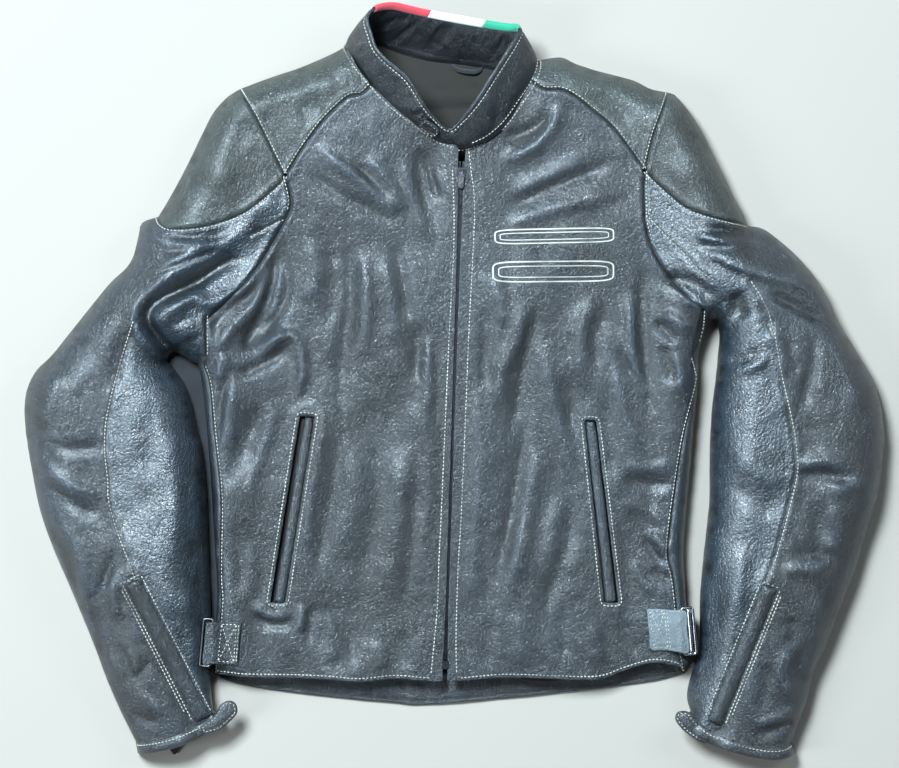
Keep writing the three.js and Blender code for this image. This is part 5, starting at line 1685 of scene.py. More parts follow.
# Hem band section: distance in from the hem, share of the lift.
HEM_SECTION = [(5.0, 0.15), (1.6, 0.12), (0.3, 0.28), (0.0, 0.55), (0.4, 0.85), (1.6, 1.0),
               (3.2, 0.86), (5.0, 1.02), (9.0, 1.18), (14.0, 1.25), (20.0, 1.28), (27.0, 1.2),
               (34.0, 1.0)]


def hem_band():
    """Band inside the back hem, and the hem edge that shows below the fronts."""
    hem = spline(LINE['back_hem'], 2.5)
    s = np.linspace(0, 1, len(hem))
    wave = noise(s * 460, s * 0, 34, 61) * 1.2 + noise(s * 460, s * 0, 12, 62) * 0.5
    lift = 3.6 + 1.2 * ease(1 - np.abs(s - 0.5) * 2) + wave
    rows = []
    for u, share in HEM_SECTION:
        q = shift(hem, u)
        height = 0.3 + lift * share + 0.35 * noise(q[:, 0], q[:, 1], 13, 63) * share
        rows.append(np.column_stack([q, height]))
    o = grid_mesh("hem_band", rows, 1.0, up=True)
    finish(o, 'leather_trim', 'torso', 'back_hem_facing')


linings()
for row in PROTECTORS:
    protector(*row)
back_protector()
hem_band()

# ------------------------------------------------------------------ collar
# Stations round the collar: x, y, z of the base, x, y, z of the top edge.
COLLAR = np.array([
    [3,239.5,46.5, 9,251.5,58.5], [-4.5,241.6,48.6, 1.5,253.2,60.8], [-12,245,50.5, -6,256,63],
    [-29,257,50.5, -18,268,70], [-44,268,50, -26,279,76], [-61,282,49.5, -41,303,80],
    [-79.5,302,47, -61,320,81], [-91,316,43, -72,332,80], [-99.5,329,38, -77,346,78],
    [-103,340,30, -81,362,72], [-97,347,20, -74.5,372.5,64], [-84,348,12, -57,376.5,56],
    [-70,344.4,9, -38,373,50], [-47,335.6,8, -20,369.5,47], [-18,328,8, 6,364.5,47],
    [12,324,8, 34,359.5,47], [42,320,9, 56,356,50], [66,320,14, 67,354.5,58],
    [84,324,26, 68.5,352,68], [87,318,34, 63,341,74], [82,302,41, 56,330,78],
    [69,281.5,46, 41,306,80], [53,259.5,49, 27,284,80], [35.5,245,51.5, 15,268,76],
    [19,239,52.5, 5,258,70], [12,238.2,53.2, 1,255.2,69.0], [6.8,238.2,53.8, -2.2,254.6,68.6],
], float)
COLLAR_MIDDLE = np.array([-8, 300, 60.0])
OVERLAP = 36        # length at the end of the collar that stands off over its start
OVERLAP_GAP = 2.6
# Sections up the collar: share of its height, distance out, share of the wrinkles.
COLLAR_OUTER = [
    (-0.14, 0.2, 0), (-0.07, 0.6, 0), (0.0, 1.0, 0), (0.05, 1.7, 0.2), (0.10, 2.3, 0.5),
    (0.16, 2.9, 0.8), (0.24, 3.3, 1), (0.33, 3.5, 1), (0.42, 3.5, 1), (0.5, 3.4, 1),
    (0.58, 3.2, 1), (0.66, 2.9, 1), (0.74, 2.6, 1), (0.80, 2.4, 0.8), (0.845, 2.2, 0.5),
    (0.875, 1.5, 0.2), (0.905, 2.1, 0.2), (0.94, 2.2, 0.1), (0.97, 1.9, 0), (0.992, 1.2, 0),
    (1.0, 0.2, 0), (0.992, -0.8, 0), (0.965, -1.5, 0), (0.92, -1.8, 0)]
COLLAR_INNER = [
    (0.95, -1.6, 0), (0.90, -2.3, 0.1), (0.84, -2.6, 0.5), (0.77, -2.8, 1), (0.70, -2.9, 1),
    (0.62, -3.0, 1), (0.54, -3.0, 1), (0.46, -3.0, 1), (0.38, -3.0, 1), (0.30, -3.0, 1),
    (0.22, -3.0, 1), (0.15, -3.0, 0.8), (0.09, -3.2, 0.4), (0.05, -4.0, 0.1), (0.02, -3.2, 0),
    (-0.04, -3.0, 0), (-0.10, -2.8, 0)]


def collar_frame():
    """Base and top lines, upward and outward directions, and height, at each station."""
    stations = spline(COLLAR, COLLAR_STEP)
    base, top = stations[:, :3], stations[:, 3:]
    height = np.linalg.norm(top - base, axis=1)
    up = (top - base) / height[:, None]
    out = unit_rows(np.cross(unit_rows(np.gradient(0.5 * (base + top), axis=0)), up))
    if np.mean(np.einsum('ij,ij->i', out, 0.5 * (base + top) - COLLAR_MIDDLE)) < 0:
        out = -out
    n = len(base)
    count = int(OVERLAP / COLLAR_STEP)
    over = ease((np.arange(n) - (n - count)) / count)
    # smooth the direction round the tight corners
    for _ in range(COLLAR_SMOOTHING):
        out[1:-1] = 0.25 * out[:-2] + 0.5 * out[1:-1] + 0.25 * out[2:]
        out /= np.linalg.norm(out, axis=1)[:, None]
    gap = out * (OVERLAP_GAP * over)[:, None]
    return base + gap, top + gap, up, out, height


COLLAR_BASE, COLLAR_TOP, COLLAR_UP, COLLAR_OUT, COLLAR_HEIGHT = collar_frame()
COLLAR_COUNT = len(COLLAR_BASE)
COLLAR_ARC = arc_length(0.5 * (COLLAR_BASE + COLLAR_TOP))


def collar_line(v, out):
    """The line at share v of the collar's height, some distance out."""
    return (COLLAR_BASE + COLLAR_UP * (COLLAR_HEIGHT * v)[:, None]
            + COLLAR_OUT * np.reshape(out, (-1, 1)))


def collar_noise(v, slide, rise, cell, seed):
    return noise(COLLAR_ARC + slide * v, np.full(COLLAR_COUNT, v * rise), cell, seed)


def arch(v):
    return math.sin(math.pi * min(max(v, 0.0), 1.0))


def outer_wrinkle(v):
    """Wrinkles, stronger near both ends of the collar."""
    w = (0.9 * collar_noise(v, 10, 26.0, 30, 71) + 0.95 * collar_noise(v, 9, 11.0, 12, 72)
         + 0.5 * collar_noise(v, 6, 12.0, 5.8, 73))
    arc, total = COLLAR_ARC, COLLAR_ARC[-1]
    strong = 0.65 + bell((arc - total * 0.905) / 22) + 0.7 * bell((arc - total * 0.09) / 24)
    return 1.25 * (w * strong * arch(v) ** 0.7)


def inner_wrinkle(v):
    w = (1.2 * collar_noise(v, 7, 16.0, 15, 84) + 1.35 * collar_noise(v, -9, 9.0, 7.4, 85)
         + 0.6 * collar_noise(v, 4, 16.0, 3.9, 86))
    w = w * (1 + 0.5 * ease((v - 0.45) / 0.4))
    return np.clip(w, -2.4, 2.2) * (0.35 + 0.65 * max(0.0, arch(v)))


def collar_sheet(name, section, wrinkle, thickness, sample_row, facing):
    """One face of the collar; facing is 1 to look out, -1 to look in."""
    rows = [collar_line(v, out + share * wrinkle(v)) for v, out, share in section]
    o = grid_mesh(name, rows)
    sample = int(COLLAR_COUNT * 0.15)
    place = Vector(rows[sample_row][sample] * MM)
    nearest = min(o.data.polygons, key=lambda p: (p.center - place).length)
    if nearest.normal.dot(Vector(facing * COLLAR_OUT[sample])) < 0:
        o.data.flip_normals()
    solidify(o, thickness)
    return o


# Binding along the back of the collar's top edge: colour, x from, x to.
BINDING = [('red', -75.0, -20.3), ('white', -20.3, 34.0), ('green', 34.0, 70.0)]
# Its section: distance up from the top edge, distance out.
BINDING_SECTION = [(-4.6, -2.6), (-4.0, -3.0), (-2.4, -2.9), (-0.2, -2.7), (1.8, -2.2),
                   (3.2, -1.2), (3.7, 0.2), (3.2, 1.5), (1.6, 2.6), (-0.6, 3.1), (-3.2, 3.2),
                   (-4.2, 2.6)]


def collar_binding():
    back = np.where((COLLAR_ARC > 0) & (COLLAR_TOP[:, 1] > 350.5))[0]
    run = slice(back[0], back[-1] + 1)
    rising_x = np.maximum.accumulate(COLLAR_TOP[run, 0])
    for name, x0, x1 in BINDING:
        x = np.linspace(x0, x1, max(8, int((x1 - x0) / 1.6)))
        top, up, out = [interp_rows(x, rising_x, rows[run])
                        for rows in (COLLAR_TOP, COLLAR_UP, COLLAR_OUT)]
        ends = ease((x + 78.0) / 6.0) * ease((71.5 - x) / 5.0)
        wave = 0.35 * noise(x, x * 0, 8, 91)
        rows = [top + up * (a * (0.55 + 0.45 * ends) + wave * (a > 0))[:, None]
                + out * (b * (0.6 + 0.4 * ends))[:, None] for a, b in BINDING_SECTION]
        o = grid_mesh("collar_binding_" + name, rows, 0.5, away=top.mean(0) + up.mean(0))
        finish(o, 'binding_' + name, 'torso', 'collar_binding' if name == 'white' else (),
               'binding')


collar = collar_sheet("collar_shell", COLLAR_OUTER, outer_wrinkle, 1.2, 9, 1)
finish(collar, 'leather_navy', 'torso', 'collar_outer')
collar = collar_sheet("collar_inner_face", COLLAR_INNER, inner_wrinkle, 0.9, 7, -1)
finish(collar, 'leather_trim', 'torso', 'collar_lining')
collar_binding()

# Closing tab at the front of the collar: directions along it, out of it and up it.
TAB_ALONG = unit(np.array([0.757, -0.627, -0.183]))
TAB_OUT = unit(np.array([-0.383, -0.653, 0.653]))
TAB_UP = np.cross(TAB_OUT, TAB_ALONG)
TAB_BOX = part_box('collar_tab')
TAB_CENTRE = ((np.array(TAB_BOX[0]) + np.array(TAB_BOX[1])) * 500
              + TAB_ALONG * (-1.9) + TAB_OUT * 2.7)


def on_collar_tab(plan, out):
    """Plan points of the tab placed on it, some distance out."""
    return (TAB_CENTRE + plan[:, :1] * TAB_ALONG + plan[:, 1:] * TAB_UP
            + np.reshape(out, (-1, 1)) * TAB_OUT)


def collar_tab():
    """Small rounded tab with an oval hollow."""
    ring = superellipse(10.6, 7.7, 3.4, 72)
    V, F, index, _ = fill_outline(ring, (0.3, 0.8, 1.5), 1.0)
    d = distance(V, closed(ring))
    f = dome(d / 1.3)
    hollow = np.hypot((V[:, 0] - 1.5) / 6.4, (V[:, 1] + 0.3) / 3.9)
    h = 0.4 + 1.0 * f - 0.9 * ease((1.15 - hollow) / 0.3) - 0.35 * bell((d - 2.2) / 0.5)
    o = double_sheet("collar_tab_piece", ring, F, index, on_collar_tab(V, h),
                     on_collar_tab(V, -(0.3 + 0.5 * f)))
    # cavity of -1 in the oval hollow, so the material paints shade into it: painted shade
    cavity = np.where(hollow < 1.1, -1.0, 0.3 * (f - 0.5))
    shader_attributes(o, np.concatenate([cavity, np.zeros(len(V))]))
    finish(o, 'leather_trim', 'neck_tab', 'collar_tab')


# Low sheet between the right sleeve and the side of the body, standing for the leather under the
# arm; it is dark cloth so that it shows as the shadow in the gap: painted shade.
UNDERARM_SHADE = points([-290,38, -272,39, -253,36, -244,28, -241,-16, -237,-56, -233,-116, -230,-176,
                   -231,-234, -239,-234, -243,-176, -247,-96, -256,-36, -268,-2, -282,22])


def underarm_shade_height(V):
    x, y = V[:, 0], V[:, 1]
    return 6.0 + 1.2 * noise(x, y, 20, 121) + 0.6 * noise(x, y, 8, 122) + 1.0 * ease(y / 40)


# Hanging loop: x, y, z down its middle, and its section in y, z.
LOOP = [(2, 320, 11), (8, 315.5, 13.2), (17, 313.5, 14.2), (26, 313.2, 13.4), (32, 316.5, 11)]
LOOP_SECTION = [(-2.2, 0), (-1.6, 0.5), (0, 0.7), (1.6, 0.5), (2.2, 0), (1.6, -0.5), (0, -0.6),
                (-1.6, -0.5)]


def hanger_loop():
    line = spline(LOOP, 1.2)
    rows = np.stack([line + np.array([0, dy, dz]) for dy, dz in LOOP_SECTION], axis=1)
    o = grid_mesh("hanger_tape", rows, closed_rows=True)
    finish(o, 'zip_tape', 'torso', 'hanger_loop', 'leather_trim')


collar_tab()
# dark sheet under the right arm: painted shade in the gap between sleeve and body
slab("underarm_shade_right", join_ring(closed(UNDERARM_SHADE)), lambda V: underarm_shade_height(V) - 2.2,
     underarm_shade_height, 3.5, 'zip_tape', 'torso', rounded=2.0)
hanger_loop()


# ------------------------------------------------------------------ zips
def on_zip(y):
    return np.array([zip_x(y), y, zip_height(y)])


ZIP_DOWN = unit(on_zip(ZIP_BOTTOM[1]) - on_zip(ZIP_TOP[1]))
ZIP_ACROSS = unit(np.array([-ZIP_DOWN[1], ZIP_DOWN[0], 0]))
ZIP_OUT = np.cross(ZIP_DOWN, ZIP_ACROSS)
TOOTH_PITCH = 2.3
SLIDER_Y = 208
# Tooth outline: distance across, distance along the zip.
TOOTH = [(-3.2, -0.62), (-1.2, -0.62), (0.55, -0.42), (0.9, 0), (0.55, 0.42), (-1.2, 0.62),
         (-3.2, 0.62)]
# Slider blocks: plan outline, bottom, top, bevel, bevel segments. Plate, posts, bridge.
SLIDER_BLOCKS = [
    ([(-4.4, 5.4), (-3.0, 7.8), (3.0, 7.8), (4.4, 5.4), (3.4, -6.6), (2.2, -7.8), (-2.2, -7.8),
      (-3.4, -6.6)], 0.9, 2.1, 0.4, 3),
    ([(-2.6, 4.0), (-1.9, 4.0), (-1.9, 6.6), (-2.6, 6.6)], 1.8, 4.6, 0.2, 2),
    ([(1.9, 4.0), (2.6, 4.0), (2.6, 6.6), (1.9, 6.6)], 1.8, 4.6, 0.2, 2),
    ([(-2.6, 4.2), (2.6, 4.2), (2.6, 6.4), (-2.6, 6.4)], 4.2, 5.1, 0.3, 2),
]
PULL_TAG = [(-1.7, 1.0), (1.7, 1.0), (2.0, -1.5), (3.0, -4.5), (3.1, -13.5), (2.2, -16.5),
            (-2.2, -16.5), (-3.1, -13.5), (-3.0, -4.5), (-2.0, -1.5)]
END_BOX = [(-3.0, -4.2), (3.0, -4.2), (3.4, 0), (3.0, 4.2), (-3.0, 4.2), (-3.4, 0)]
CUFF_SLIDER = [(-2.4, 4.8), (2.4, 4.8), (3.0, 2.6), (2.6, -4.0), (1.6, -4.9), (-1.6, -4.9),
               (-2.6, -4.0), (-3.0, 2.6)]


def zip_teeth(side):
    s = SIGN[side]
    V, F = [], []
    m = len(TOOTH)
    # the left row is set half a pitch higher so that the teeth mesh
    for y in np.arange(-275 + (TOOTH_PITCH / 2 if s > 0 else 0), 213, TOOTH_PITCH):
        c = on_zip(y) - np.array([0, 0, 2.3])
        b = len(V)
        for h in (-0.8, 0.8):
            V += [c + ZIP_ACROSS * (s * w) + ZIP_DOWN * along + ZIP_OUT * h for w, along in TOOTH]
        F.append(tuple(b + i for i in range(m))[::-1])
        F.append(tuple(b + m + i for i in range(m)))
        for i in range(m):
            j = (i + 1) % m
            F.append((b + i, b + j, b + m + j, b + m + i))
    o = make("zip_row_" + WORD[side], np.array(V) * MM, F, smooth=False)
    recalculate_normals(o, bevel=0.14)
    shader_attributes(o)
    finish(o, 'zip_metal', 'torso', 'zip_teeth_' + WORD[side])


def zip_placement(y):
    """Frame on the zip: local x across, y up the zip, z out."""
    return placement(np.cross(-ZIP_DOWN, ZIP_OUT), -ZIP_DOWN, ZIP_OUT, on_zip(y))


def front_slider():
    place = zip_placement(SLIDER_Y)
    parts = [outline_block("slider_part", outline, z0, z1, place, bevel, segments)
             for outline, z0, z1, bevel, segments in SLIDER_BLOCKS]
    finish(join("front_slider_body", parts), 'zip_metal', 'front_slider', 'zip_slider')
    centre = on_zip(SLIDER_Y) + ZIP_OUT * 3.3 - ZIP_DOWN * 5.0
    pin = rod_mesh("pull_pin", np.array([centre + ZIP_ACROSS * w
                                         for w in np.linspace(-1.5, 1.5, 5)]), 0.75)
    tag = outline_block("pull_tag", PULL_TAG, 2.6, 4.0, zip_placement(SLIDER_Y + 3.6), 0.5, 3)
    finish(join("front_pull_tag", [tag, pin]), 'zip_pull_leather', 'front_pull', 'zip_pull')
    o = outline_block("zip_box_end", END_BOX, -2.4, 1.2, zip_placement(-281), 0.6, 3)
    finish(o, 'zip_metal', 'torso', 'zip_end_box')


def cuff_slider(side):
    place, axis = CUFF_ZIP[side][2:]
    across = unit(np.cross(axis, [0, 0, 1.0]))
    o = outline_block("cs", CUFF_SLIDER, -1.5, -0.2,
                      placement(across, axis, np.cross(across, axis), place), 0.35, 2)
    finish(o, 'zip_metal', WORD[side] + '_cuff_slider', 'cuff_zip_slider_' + WORD[side])
    # the object takes its full name last; its mesh keeps the short one
    o.name = "cuff_slider_body_" + WORD[side]


for side in 'RL':
    zip_teeth(side)
front_slider()
for side in 'RL':
    cuff_slider(side)

# ------------------------------------------------------------------ pocket welts
# Welt: top end, bottom end, sideways offset.
WELT = {'R': ((-141.6, -33.6), (-171.4, -217.4), 1.2), 'L': ((140.8, -37.8), (162.2, -217.4), -0.6)}
WELT_SECTION = [(-5.4, -4.6), (-5.5, -2.8), (-5.0, -1.3), (-3.6, -0.2), (-1.6, 0.4), (0.4, 0.55),
                (2.4, 0.2), (4.0, -0.6), (5.0, -1.7), (5.4, -3.0), (5.3, -4.6)]


def welt(side):
    top, bottom = np.array(WELT[side][0]), np.array(WELT[side][1])
    d = unit(bottom - top)
    across = np.array([-d[1], d[0]])
    t = np.arange(90) / 89
    centre = top + (bottom - top) * t[:, None]
    z = drape(centre, grooves=False)
    narrowing = 1.0 - 0.25 * np.exp(-t * 18)
    wander = 0.4 * noise(t * 180, t * 0, 22, 95)
    rows = [np.column_stack([
        centre + across * (u * narrowing + WELT[side][2] + wander)[:, None], z + h - 0.5])
        for u, h in WELT_SECTION]
    o = grid_mesh("pocket_welt_strip_" + WORD[side], np.stack(rows, axis=1), 0.9, up=True)
    finish(o, 'leather_navy', 'torso', 'pocket_welt_' + WORD[side])


welt('R')
welt('L')

# ------------------------------------------------------------------ waist adjusters
WAIST_TAB = {
    'R': points([-243.2,-237.6, -232,-237.4, -220,-237.3, -209.5,-237.2, -208.4,-239, -210,-256,
                 -212,-279.5, -213,-281, -224,-280.2, -236,-279.4, -246.6,-279.2, -245.2,-258]),
    'L': points([196.4,-224.5, 208,-224.4, 222,-225.6, 235.2,-227, 236.8,-245, 238.6,-267.8,
                 226,-267.2, 212,-266, 201,-265.2, 199,-250]),
}
WAIST_EDGE = {'R': 243.0, 'L': 236.5}       # distance of the ring edge from x = 0
RING_HEIGHT = {'R': 39.0, 'L': 38.0}
TAB_LIFT = 0.9
# Strap section: distance out, height.
STRAP_SECTION = [(0.3, 34.0), (1.2, 32.5), (1.5, 28.0), (1.7, 22), (1.5, 14), (1.0, 8),
                 (0.6, 4.5), (-0.8, 3.6), (-1.0, 8), (-0.8, 14), (-0.5, 22), (-0.6, 28),
                 (-0.7, 33.0)]


def waist_tab_height(side):
    """Near the drape, levelling to the ring's height at the outer edge."""
    middle = float(drape(np.array([np.mean(WAIST_TAB[side], 0)]))[0])

    def height(V):
        z = 0.65 * drape(V, grooves=False) + 0.35 * middle + TAB_LIFT
        t = ease((SIGN[side] * V[:, 0] - WAIST_EDGE[side] + 22) / 16)
        return z * (1 - t) + (RING_HEIGHT[side] + TAB_LIFT) * t
    return height


def wire_ring(side, start, end, width, radius, material, roller):
    """Rectangular wire ring with rounded corners, standing out from the line start to end."""
    start = np.array([*start, RING_HEIGHT[side]], float)
    end = np.array([*end, RING_HEIGHT[side]], float)
    d = unit((end - start)[:2])
    n = np.array([d[1] * width, -d[0] * width, 0])
    corners = [start, end, end + n, start + n]
    bend = 2.4
    pts = []
    for i in range(4):
        p, q, s = corners[i - 1], corners[i], corners[(i + 1) % 4]
        u, v = unit(p - q), unit(s - q)
        for t in np.linspace(0, 1, 6):
            pts.append(q + u * bend * (1 - t) ** 2 + v * bend * t ** 2)
        straight = np.linalg.norm(s - q) - 2 * bend
        for t in np.linspace(0, 1, max(2, int(straight / 3)) + 2)[1:-1]:
            pts.append(q + v * (bend + straight * t))
    parts = [rod_mesh("wire", np.array(pts), radius, 14, closed=True)]
    if roller:
        far, near = corners[2:]
        u = unit(near - far)
        line = [far - unit(n) * 4.6 + u * t
                for t in np.linspace(3.2, np.linalg.norm(near - far) - 3.2, 16)]
        parts.append(rod_mesh("roller", np.array(line), 4.1, 26, flatness=0.55))
    o = join("waist_ring_wire_" + WORD[side], parts)
    finish(o, material, WORD[side] + '_waist_ring', 'waist_ring_' + WORD[side], 'ring_metal')


def waist_strap(side, x, y0, y1):
    s = SIGN[side]
    rows = []
    for t in np.linspace(0, 1, 26):
        wave = 0.4 * math.sin(t * 7)
        rows.append([[x + s * (0.2 + wave * 0.4 + out), y0 + (y1 - y0) * t, z]
                     for out, z in STRAP_SECTION])
    name = 'waist_strap_' + WORD[side]
    o = grid_mesh(name + "_piece", rows, closed_rows=True, away=(x, (y0 + y1) / 2, 20))
    finish(o, 'leather_trim', 'torso', name, 'leather_navy')


# The left tab takes the paler copy of the leather: painted glare.
for side, material in (('R', 'leather_navy'), ('L', 'leather_light')):
    soft_tab("waist_tab_piece_" + WORD[side], WAIST_TAB[side], waist_tab_height(side),
             thickness=2.2, crown=0.3, edge=1.1, material=material, body='torso',
             replaces='waist_tab_' + WORD[side])
wire_ring('R', start=(-236.0, -235), end=(-240.0, -282), width=9.5, radius=1.45,
          material='ring_metal_dark', roller=False)
wire_ring('L', start=(234.5, -270), end=(230.5, -224), width=11.5, radius=1.5,
          material='ring_metal', roller=True)
waist_strap('R', x=-238.3, y0=-276.5, y1=-240.5)
waist_strap('L', x=240.4, y0=-264, y1=-230)

# ------------------------------------------------------------------ stitching
STITCH_LENGTH = 2.4
STITCH_RADIUS = 0.5
STITCH_PITCH = 3.75
STITCH_SIDES = 6
# Stitch sections: place along its length, radius and height in stitch radii; ends sink.
STITCH_SECTIONS = [(-0.5, 0.35, -0.55), (-0.40, 0.85, -0.15), (-0.18, 1.0, 0.12),
                   (0.18, 1.0, 0.12), (0.40, 0.85, -0.15), (0.5, 0.35, -0.55)]


def stitch_template():
    V, F = [], []
    r = STITCH_RADIUS
    for x, size, h in STITCH_SECTIONS:
        for s in range(STITCH_SIDES):
            w = 2 * math.pi * s / STITCH_SIDES
            V.append((x * STITCH_LENGTH, math.cos(w) * r * size,
                      math.sin(w) * r * size * 0.8 + h * r))
    m = len(STITCH_SECTIONS)
    n = STITCH_SIDES
    for i in range(m - 1):
        for s in range(n):
            t = (s + 1) % n
            F.append((i * n + s, (i + 1) * n + s, (i + 1) * n + t, i * n + t))
    F.append(tuple(range(n)))
    F.append(tuple((m - 1) * n + s for s in range(n))[::-1])
    return np.array(V), F


STITCH_V, STITCH_F = stitch_template()


def stitch_frames(line, up):
    """Centre, direction and outward direction of each stitch along a line in space."""
    s = arc_length(line)
    n = max(2, int(s[-1] / STITCH_PITCH))
    u = (np.arange(n) + 0.5) * s[-1] / n
    before = interp_rows(np.clip(u - 1.2, 0, s[-1]), s, line)
    after = interp_rows(np.clip(u + 1.2, 0, s[-1]), s, line)
    T = unit_rows(after - before)
    U = interp_rows(u, s, up)
    U = unit_rows(U - np.einsum('ij,ij->i', U, T)[:, None] * T)
    return interp_rows(u, s, line), T, U


def stitches(name, rows, body, slot, size=1.0, material='thread_cream'):
    """Rows of stitches; each row is a line in space and its outward directions."""
    V, F = [], []
    r = np.random.default_rng(sum(map(ord, name)))
    for line, up in rows:
        for c, t, u in zip(*stitch_frames(line, up)):
            w = np.cross(u, t)
            a = r.normal(0, 0.05)
            along = t * math.cos(a) + w * math.sin(a)
            across = w * math.cos(a) - t * math.sin(a)
            b = len(V)
            k = size * (1 + r.normal(0, 0.06))
            V.extend(c + (STITCH_V[:, :1] * along + STITCH_V[:, 1:2] * across
                          + STITCH_V[:, 2:] * u) * k)
            F.extend(tuple(i + b for i in f) for f in STITCH_F)
    o = make(name, np.array(V) * MM, F)
    recalculate_normals(o)
    shader_attributes(o)
    finish(o, material, body, (), slot)


def lay(line, up=0.35):
    """A plan line laid on the leather, with surface normals."""
    e = 0.8
    z = drape(line)
    slope_x = (drape(line + [e, 0]) - drape(line - [e, 0])) / (2 * e)
    slope_y = (drape(line + [0, e]) - drape(line - [0, e])) / (2 * e)
    N = unit_rows(np.stack([-slope_x, -slope_y, np.ones(len(line))], 1))
    return np.column_stack([line, z]) + N * up, N


def lay_curve(line, off=0.0, up=0.35):
    """The smoothed line, moved to its left by off, laid on the leather."""
    return lay(shift(spline(line, 1.6), off), up)


def level(line, z):
    """A plan line at the given heights, facing up."""
    return np.column_stack([line, z]), np.tile([0, 0, 1.0], (len(line), 1))


def front_stitches(side):
    """Beside the zip, along the hem, round the pocket mouth and down the side seam."""
    ring = soft_rectangle(POCKET_CORNERS[side], 1.6, 2.0)
    outside = -3.2 if signed_area(ring) > 0 else 3.2
    rows = [lay_curve(LINE['zip_stitch_' + side]), lay_curve(LINE['hem_stitch_' + side]),
            lay(shift(closed(ring), outside)),
            lay_curve(LINE['side_seam_' + side][2:], -2.4 * SIGN[side])]
    stitches("stitch_front_" + WORD[side], rows, 'torso', 'leather_navy')


def shoulder_stitches(side):
    s = SIGN[side]
    low = LINE['armhole_low_' + side][:3 if side == 'R' else 5]
    rows = [lay_curve(LINE['yoke_' + side], 2.2 * s), lay_curve(LINE['cap_' + side], -2.3 * s),
            lay_curve(LINE['armhole_top_' + side], 2.2 * s), lay_curve(low, 2.2 * s)]
    stitches("stitch_shoulder_" + WORD[side], rows, 'torso', 'leather_olive')


def collar_stitches():
    """Under the top edge, along the base, on the leather round the neck, and inside."""
    n = COLLAR_COUNT
    right_end, left_start = int(n * 0.375), int(n * 0.70)

    def row(v, out, start, stop):
        return collar_line(v, out)[start:stop], COLLAR_OUT[start:stop]
    rows = [row(0.872, 1.75, 1, right_end), row(0.872, 1.75, left_start, n - 1),
            row(0.07, 2.25, left_start + 2, n - int(20 / COLLAR_STEP))]
    stitches("stitch_collar", rows, 'torso', 'leather_navy')
    rows = []
    for run in (slice(0, right_end - int(18 / COLLAR_STEP)),
                slice(left_start + int(9 / COLLAR_STEP), n)):
        rows.append(lay(COLLAR_BASE[run, :2] + unit_rows(COLLAR_OUT[run, :2]) * 3.8))
    stitches("stitch_neck", rows, 'torso', 'leather_navy', size=0.9)
    line, out = row(0.10, -2.75, int(n * 0.36), left_start)
    stitches("stitch_collar_inner", [(line, -out)], 'torso', 'leather_trim', size=0.8,
             material='thread_dark')


def sleeve_stitches(side):
    rows = [lay_curve(LINE['sleeve_seam_' + side], 2.0 * SIGN[side]),
            lay_curve(LINE['short_seam_' + side], 1.2), lay_curve(LINE['gusset_' + side][:3], 1.2)]
    stitches("stitch_sleeve_" + WORD[side], rows, ELBOW[side], 'leather_navy')


def cuff_stitches(side):
    """Round the zip flap and along the cuff band, then round the closing tab."""
    low, d, n, length = cuff_zip_axes(side)

    def beside_flap(gap):
        return np.array([low + d * t + n * gap for t in np.linspace(2, length + 2.5, 30)])
    top = np.array([CUFF_ZIP[side][1] + d * 4.2 + n * w for w in (-9, -3, 3, 9)])
    rows = [lay_curve(line, up=0.3)
            for line in (beside_flap(10.4), beside_flap(-10.4),
                         beside_flap(-13.4 * SIGN[side])[2:-1], top)]
    line, out, z = CUFF[side]
    rows.append(level(line + out * 2.6, z + 1.0))
    stitches("stitch_cuff_" + WORD[side], rows, WORD[side] + '_forearm', 'leather_trim')
    ring = inset(spline(closed(CUFF_TAB[side]), 1.2)[:-1], 2.6)
    stitches("stitch_cuff_tab_" + WORD[side], [level(ring, cuff_tab_height(side)(ring) + 2.7)],
             WORD[side] + '_cuff_tab', 'leather_trim', size=0.85)


# Box and cross on each waist tab: four corners, then the ends of one more row beside it.
WAIST_BOX = {
    'R': (points([-228,-240, -213.2,-240.2, -216,-277.8, -231.4,-276.6]),
          points([-210.8,-240, -213.6,-278]), 'leather_navy'),
    'L': (points([199.4,-226.6, 214.0,-227, 217.8,-263.8, 203.4,-262.8]),
          points([216.4,-227, 220.2,-264]), 'leather_light'),
}


def waist_stitches(side):
    box, beside, slot = WAIST_BOX[side]
    pairs = [(0, 1), (1, 2), (2, 3), (3, 0), (0, 2), (1, 3)]
    height = waist_tab_height(side)
    rows = []
    for segment in [box[list(pair)] for pair in pairs] + [beside]:
        line = spline(segment, 1.0)
        rows.append(level(line, height(line) + 2.55))
    stitches("stitch_waist_" + WORD[side], rows, 'torso', slot, size=0.85)


def collar_tab_stitches():
    line = closed(on_collar_tab(superellipse(8.8, 5.9, 3.4, 72), 1.25))
    stitches("stitch_collar_tab", [(line, np.tile(TAB_OUT, (len(line), 1)))], 'neck_tab',
             'leather_trim', size=0.72)


for side in 'RL':
    front_stitches(side)
for side in 'RL':
    shoulder_stitches(side)
collar_stitches()
for side in 'RL':
    sleeve_stitches(side)
    cuff_stitches(side)
for side in 'RL':
    waist_stitches(side)
collar_tab_stitches()

# Two double-outlined bars on the left chest, in cord: centre x, y, width, height, tilt, radius.
CHEST_CORDS = [(104, 147.5, 118, 14, 0.02, 0.75), (104, 147.5, 108, 7, 0.02, 0.55),
               (103, 112, 120, 20, 0.01, 0.85), (103, 112, 109, 11, 0.01, 0.6)]


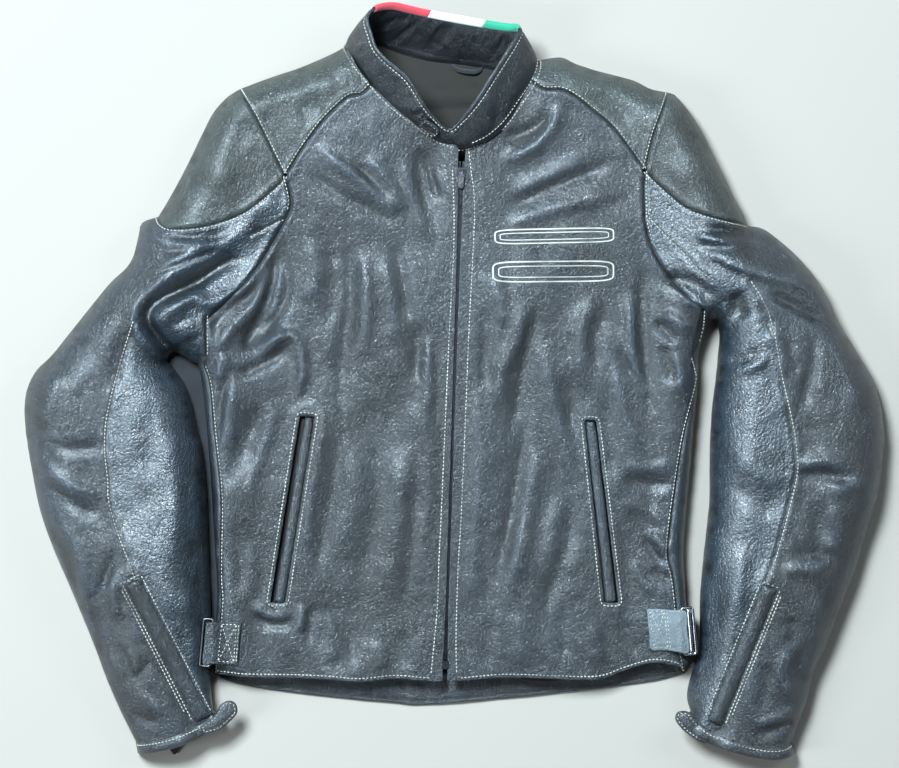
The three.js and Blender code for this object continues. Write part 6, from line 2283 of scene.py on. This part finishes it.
def cord_ring(cx, cy, width, height, tilt, radius):
    x, y = superellipse(width / 2, height / 2, 6, 150).T
    c, s = math.cos(tilt), math.sin(tilt)
    line, _ = lay(np.stack([cx + x * c - y * s, cy + x * s + y * c], 1), 0.15)
    return rod_mesh("cord", line, radius, 8, closed=True)


finish(join("chest_bars", [cord_ring(*row) for row in CHEST_CORDS]), 'mark_cream', 'torso',
       (), 'leather_navy')


# ------------------------------------------------------------------ room, in metres
def area_light(name, place, width, height, energy, color):
    """Rectangular light aimed at the origin and hidden from the camera."""
    light = bpy.data.lights.new(name, 'AREA')
    light.shape = 'RECTANGLE'
    light.size = width
    light.size_y = height
    light.energy = energy
    light.color = color
    o = link(name, light)
    o.location = place
    o.rotation_euler = (-Vector(place)).to_track_quat('-Z', 'Y').to_euler()
    o.visible_camera = False


def room():
    area_light("window", (-1.0, 1.35, 3.2), width=1.1, height=0.9, energy=375,
               color=(0.71, 0.88, 1.0))
    area_light("sky", (2.3, 1.2, 2.3), width=1.1, height=1.3, energy=34,
               color=(0.70, 0.87, 1.0))
    area_light("low", (-2.4, -0.9, 2.1), width=0.9, height=1.4, energy=62,
               color=(0.74, 0.89, 1.0))
    area_light("front", (0.9, -1.9, 1.6), width=0.9, height=0.7, energy=3,
               color=(0.84, 0.92, 1.0))
    world = bpy.data.worlds.new("room")
    bpy.context.scene.world = world
    world.use_nodes = True
    background = world.node_tree.nodes["Background"]
    background.inputs["Color"].default_value = (0.74, 0.83, 0.95, 1)
    background.inputs["Strength"].default_value = 0.045
    floor_look = Nodes("pale_floor")
    floor_look.shade(Base_Color=(0.35, 0.312, 0.268, 1), Roughness=0.85)
    half, z = 9, -0.0005
    floor = make("floor", [(-half, -half, z), (half, -half, z), (half, half, z), (-half, half, z)],
                 [(0, 1, 2, 3)], smooth=False)
    floor.data.materials.append(floor_look.material)


def camera():
    """Long lens straight above the jacket."""
    data = bpy.data.cameras.new("camera")
    data.sensor_width = 36.0
    data.lens = 158.97
    o = link("camera", data)
    o.location = (-0.0005, 0.0, 4.0)
    scene = bpy.context.scene
    scene.camera = o
    scene.view_settings.view_transform = 'Standard'
    scene.view_settings.look = 'None'
    scene.view_settings.exposure = 0.0


room()
camera()
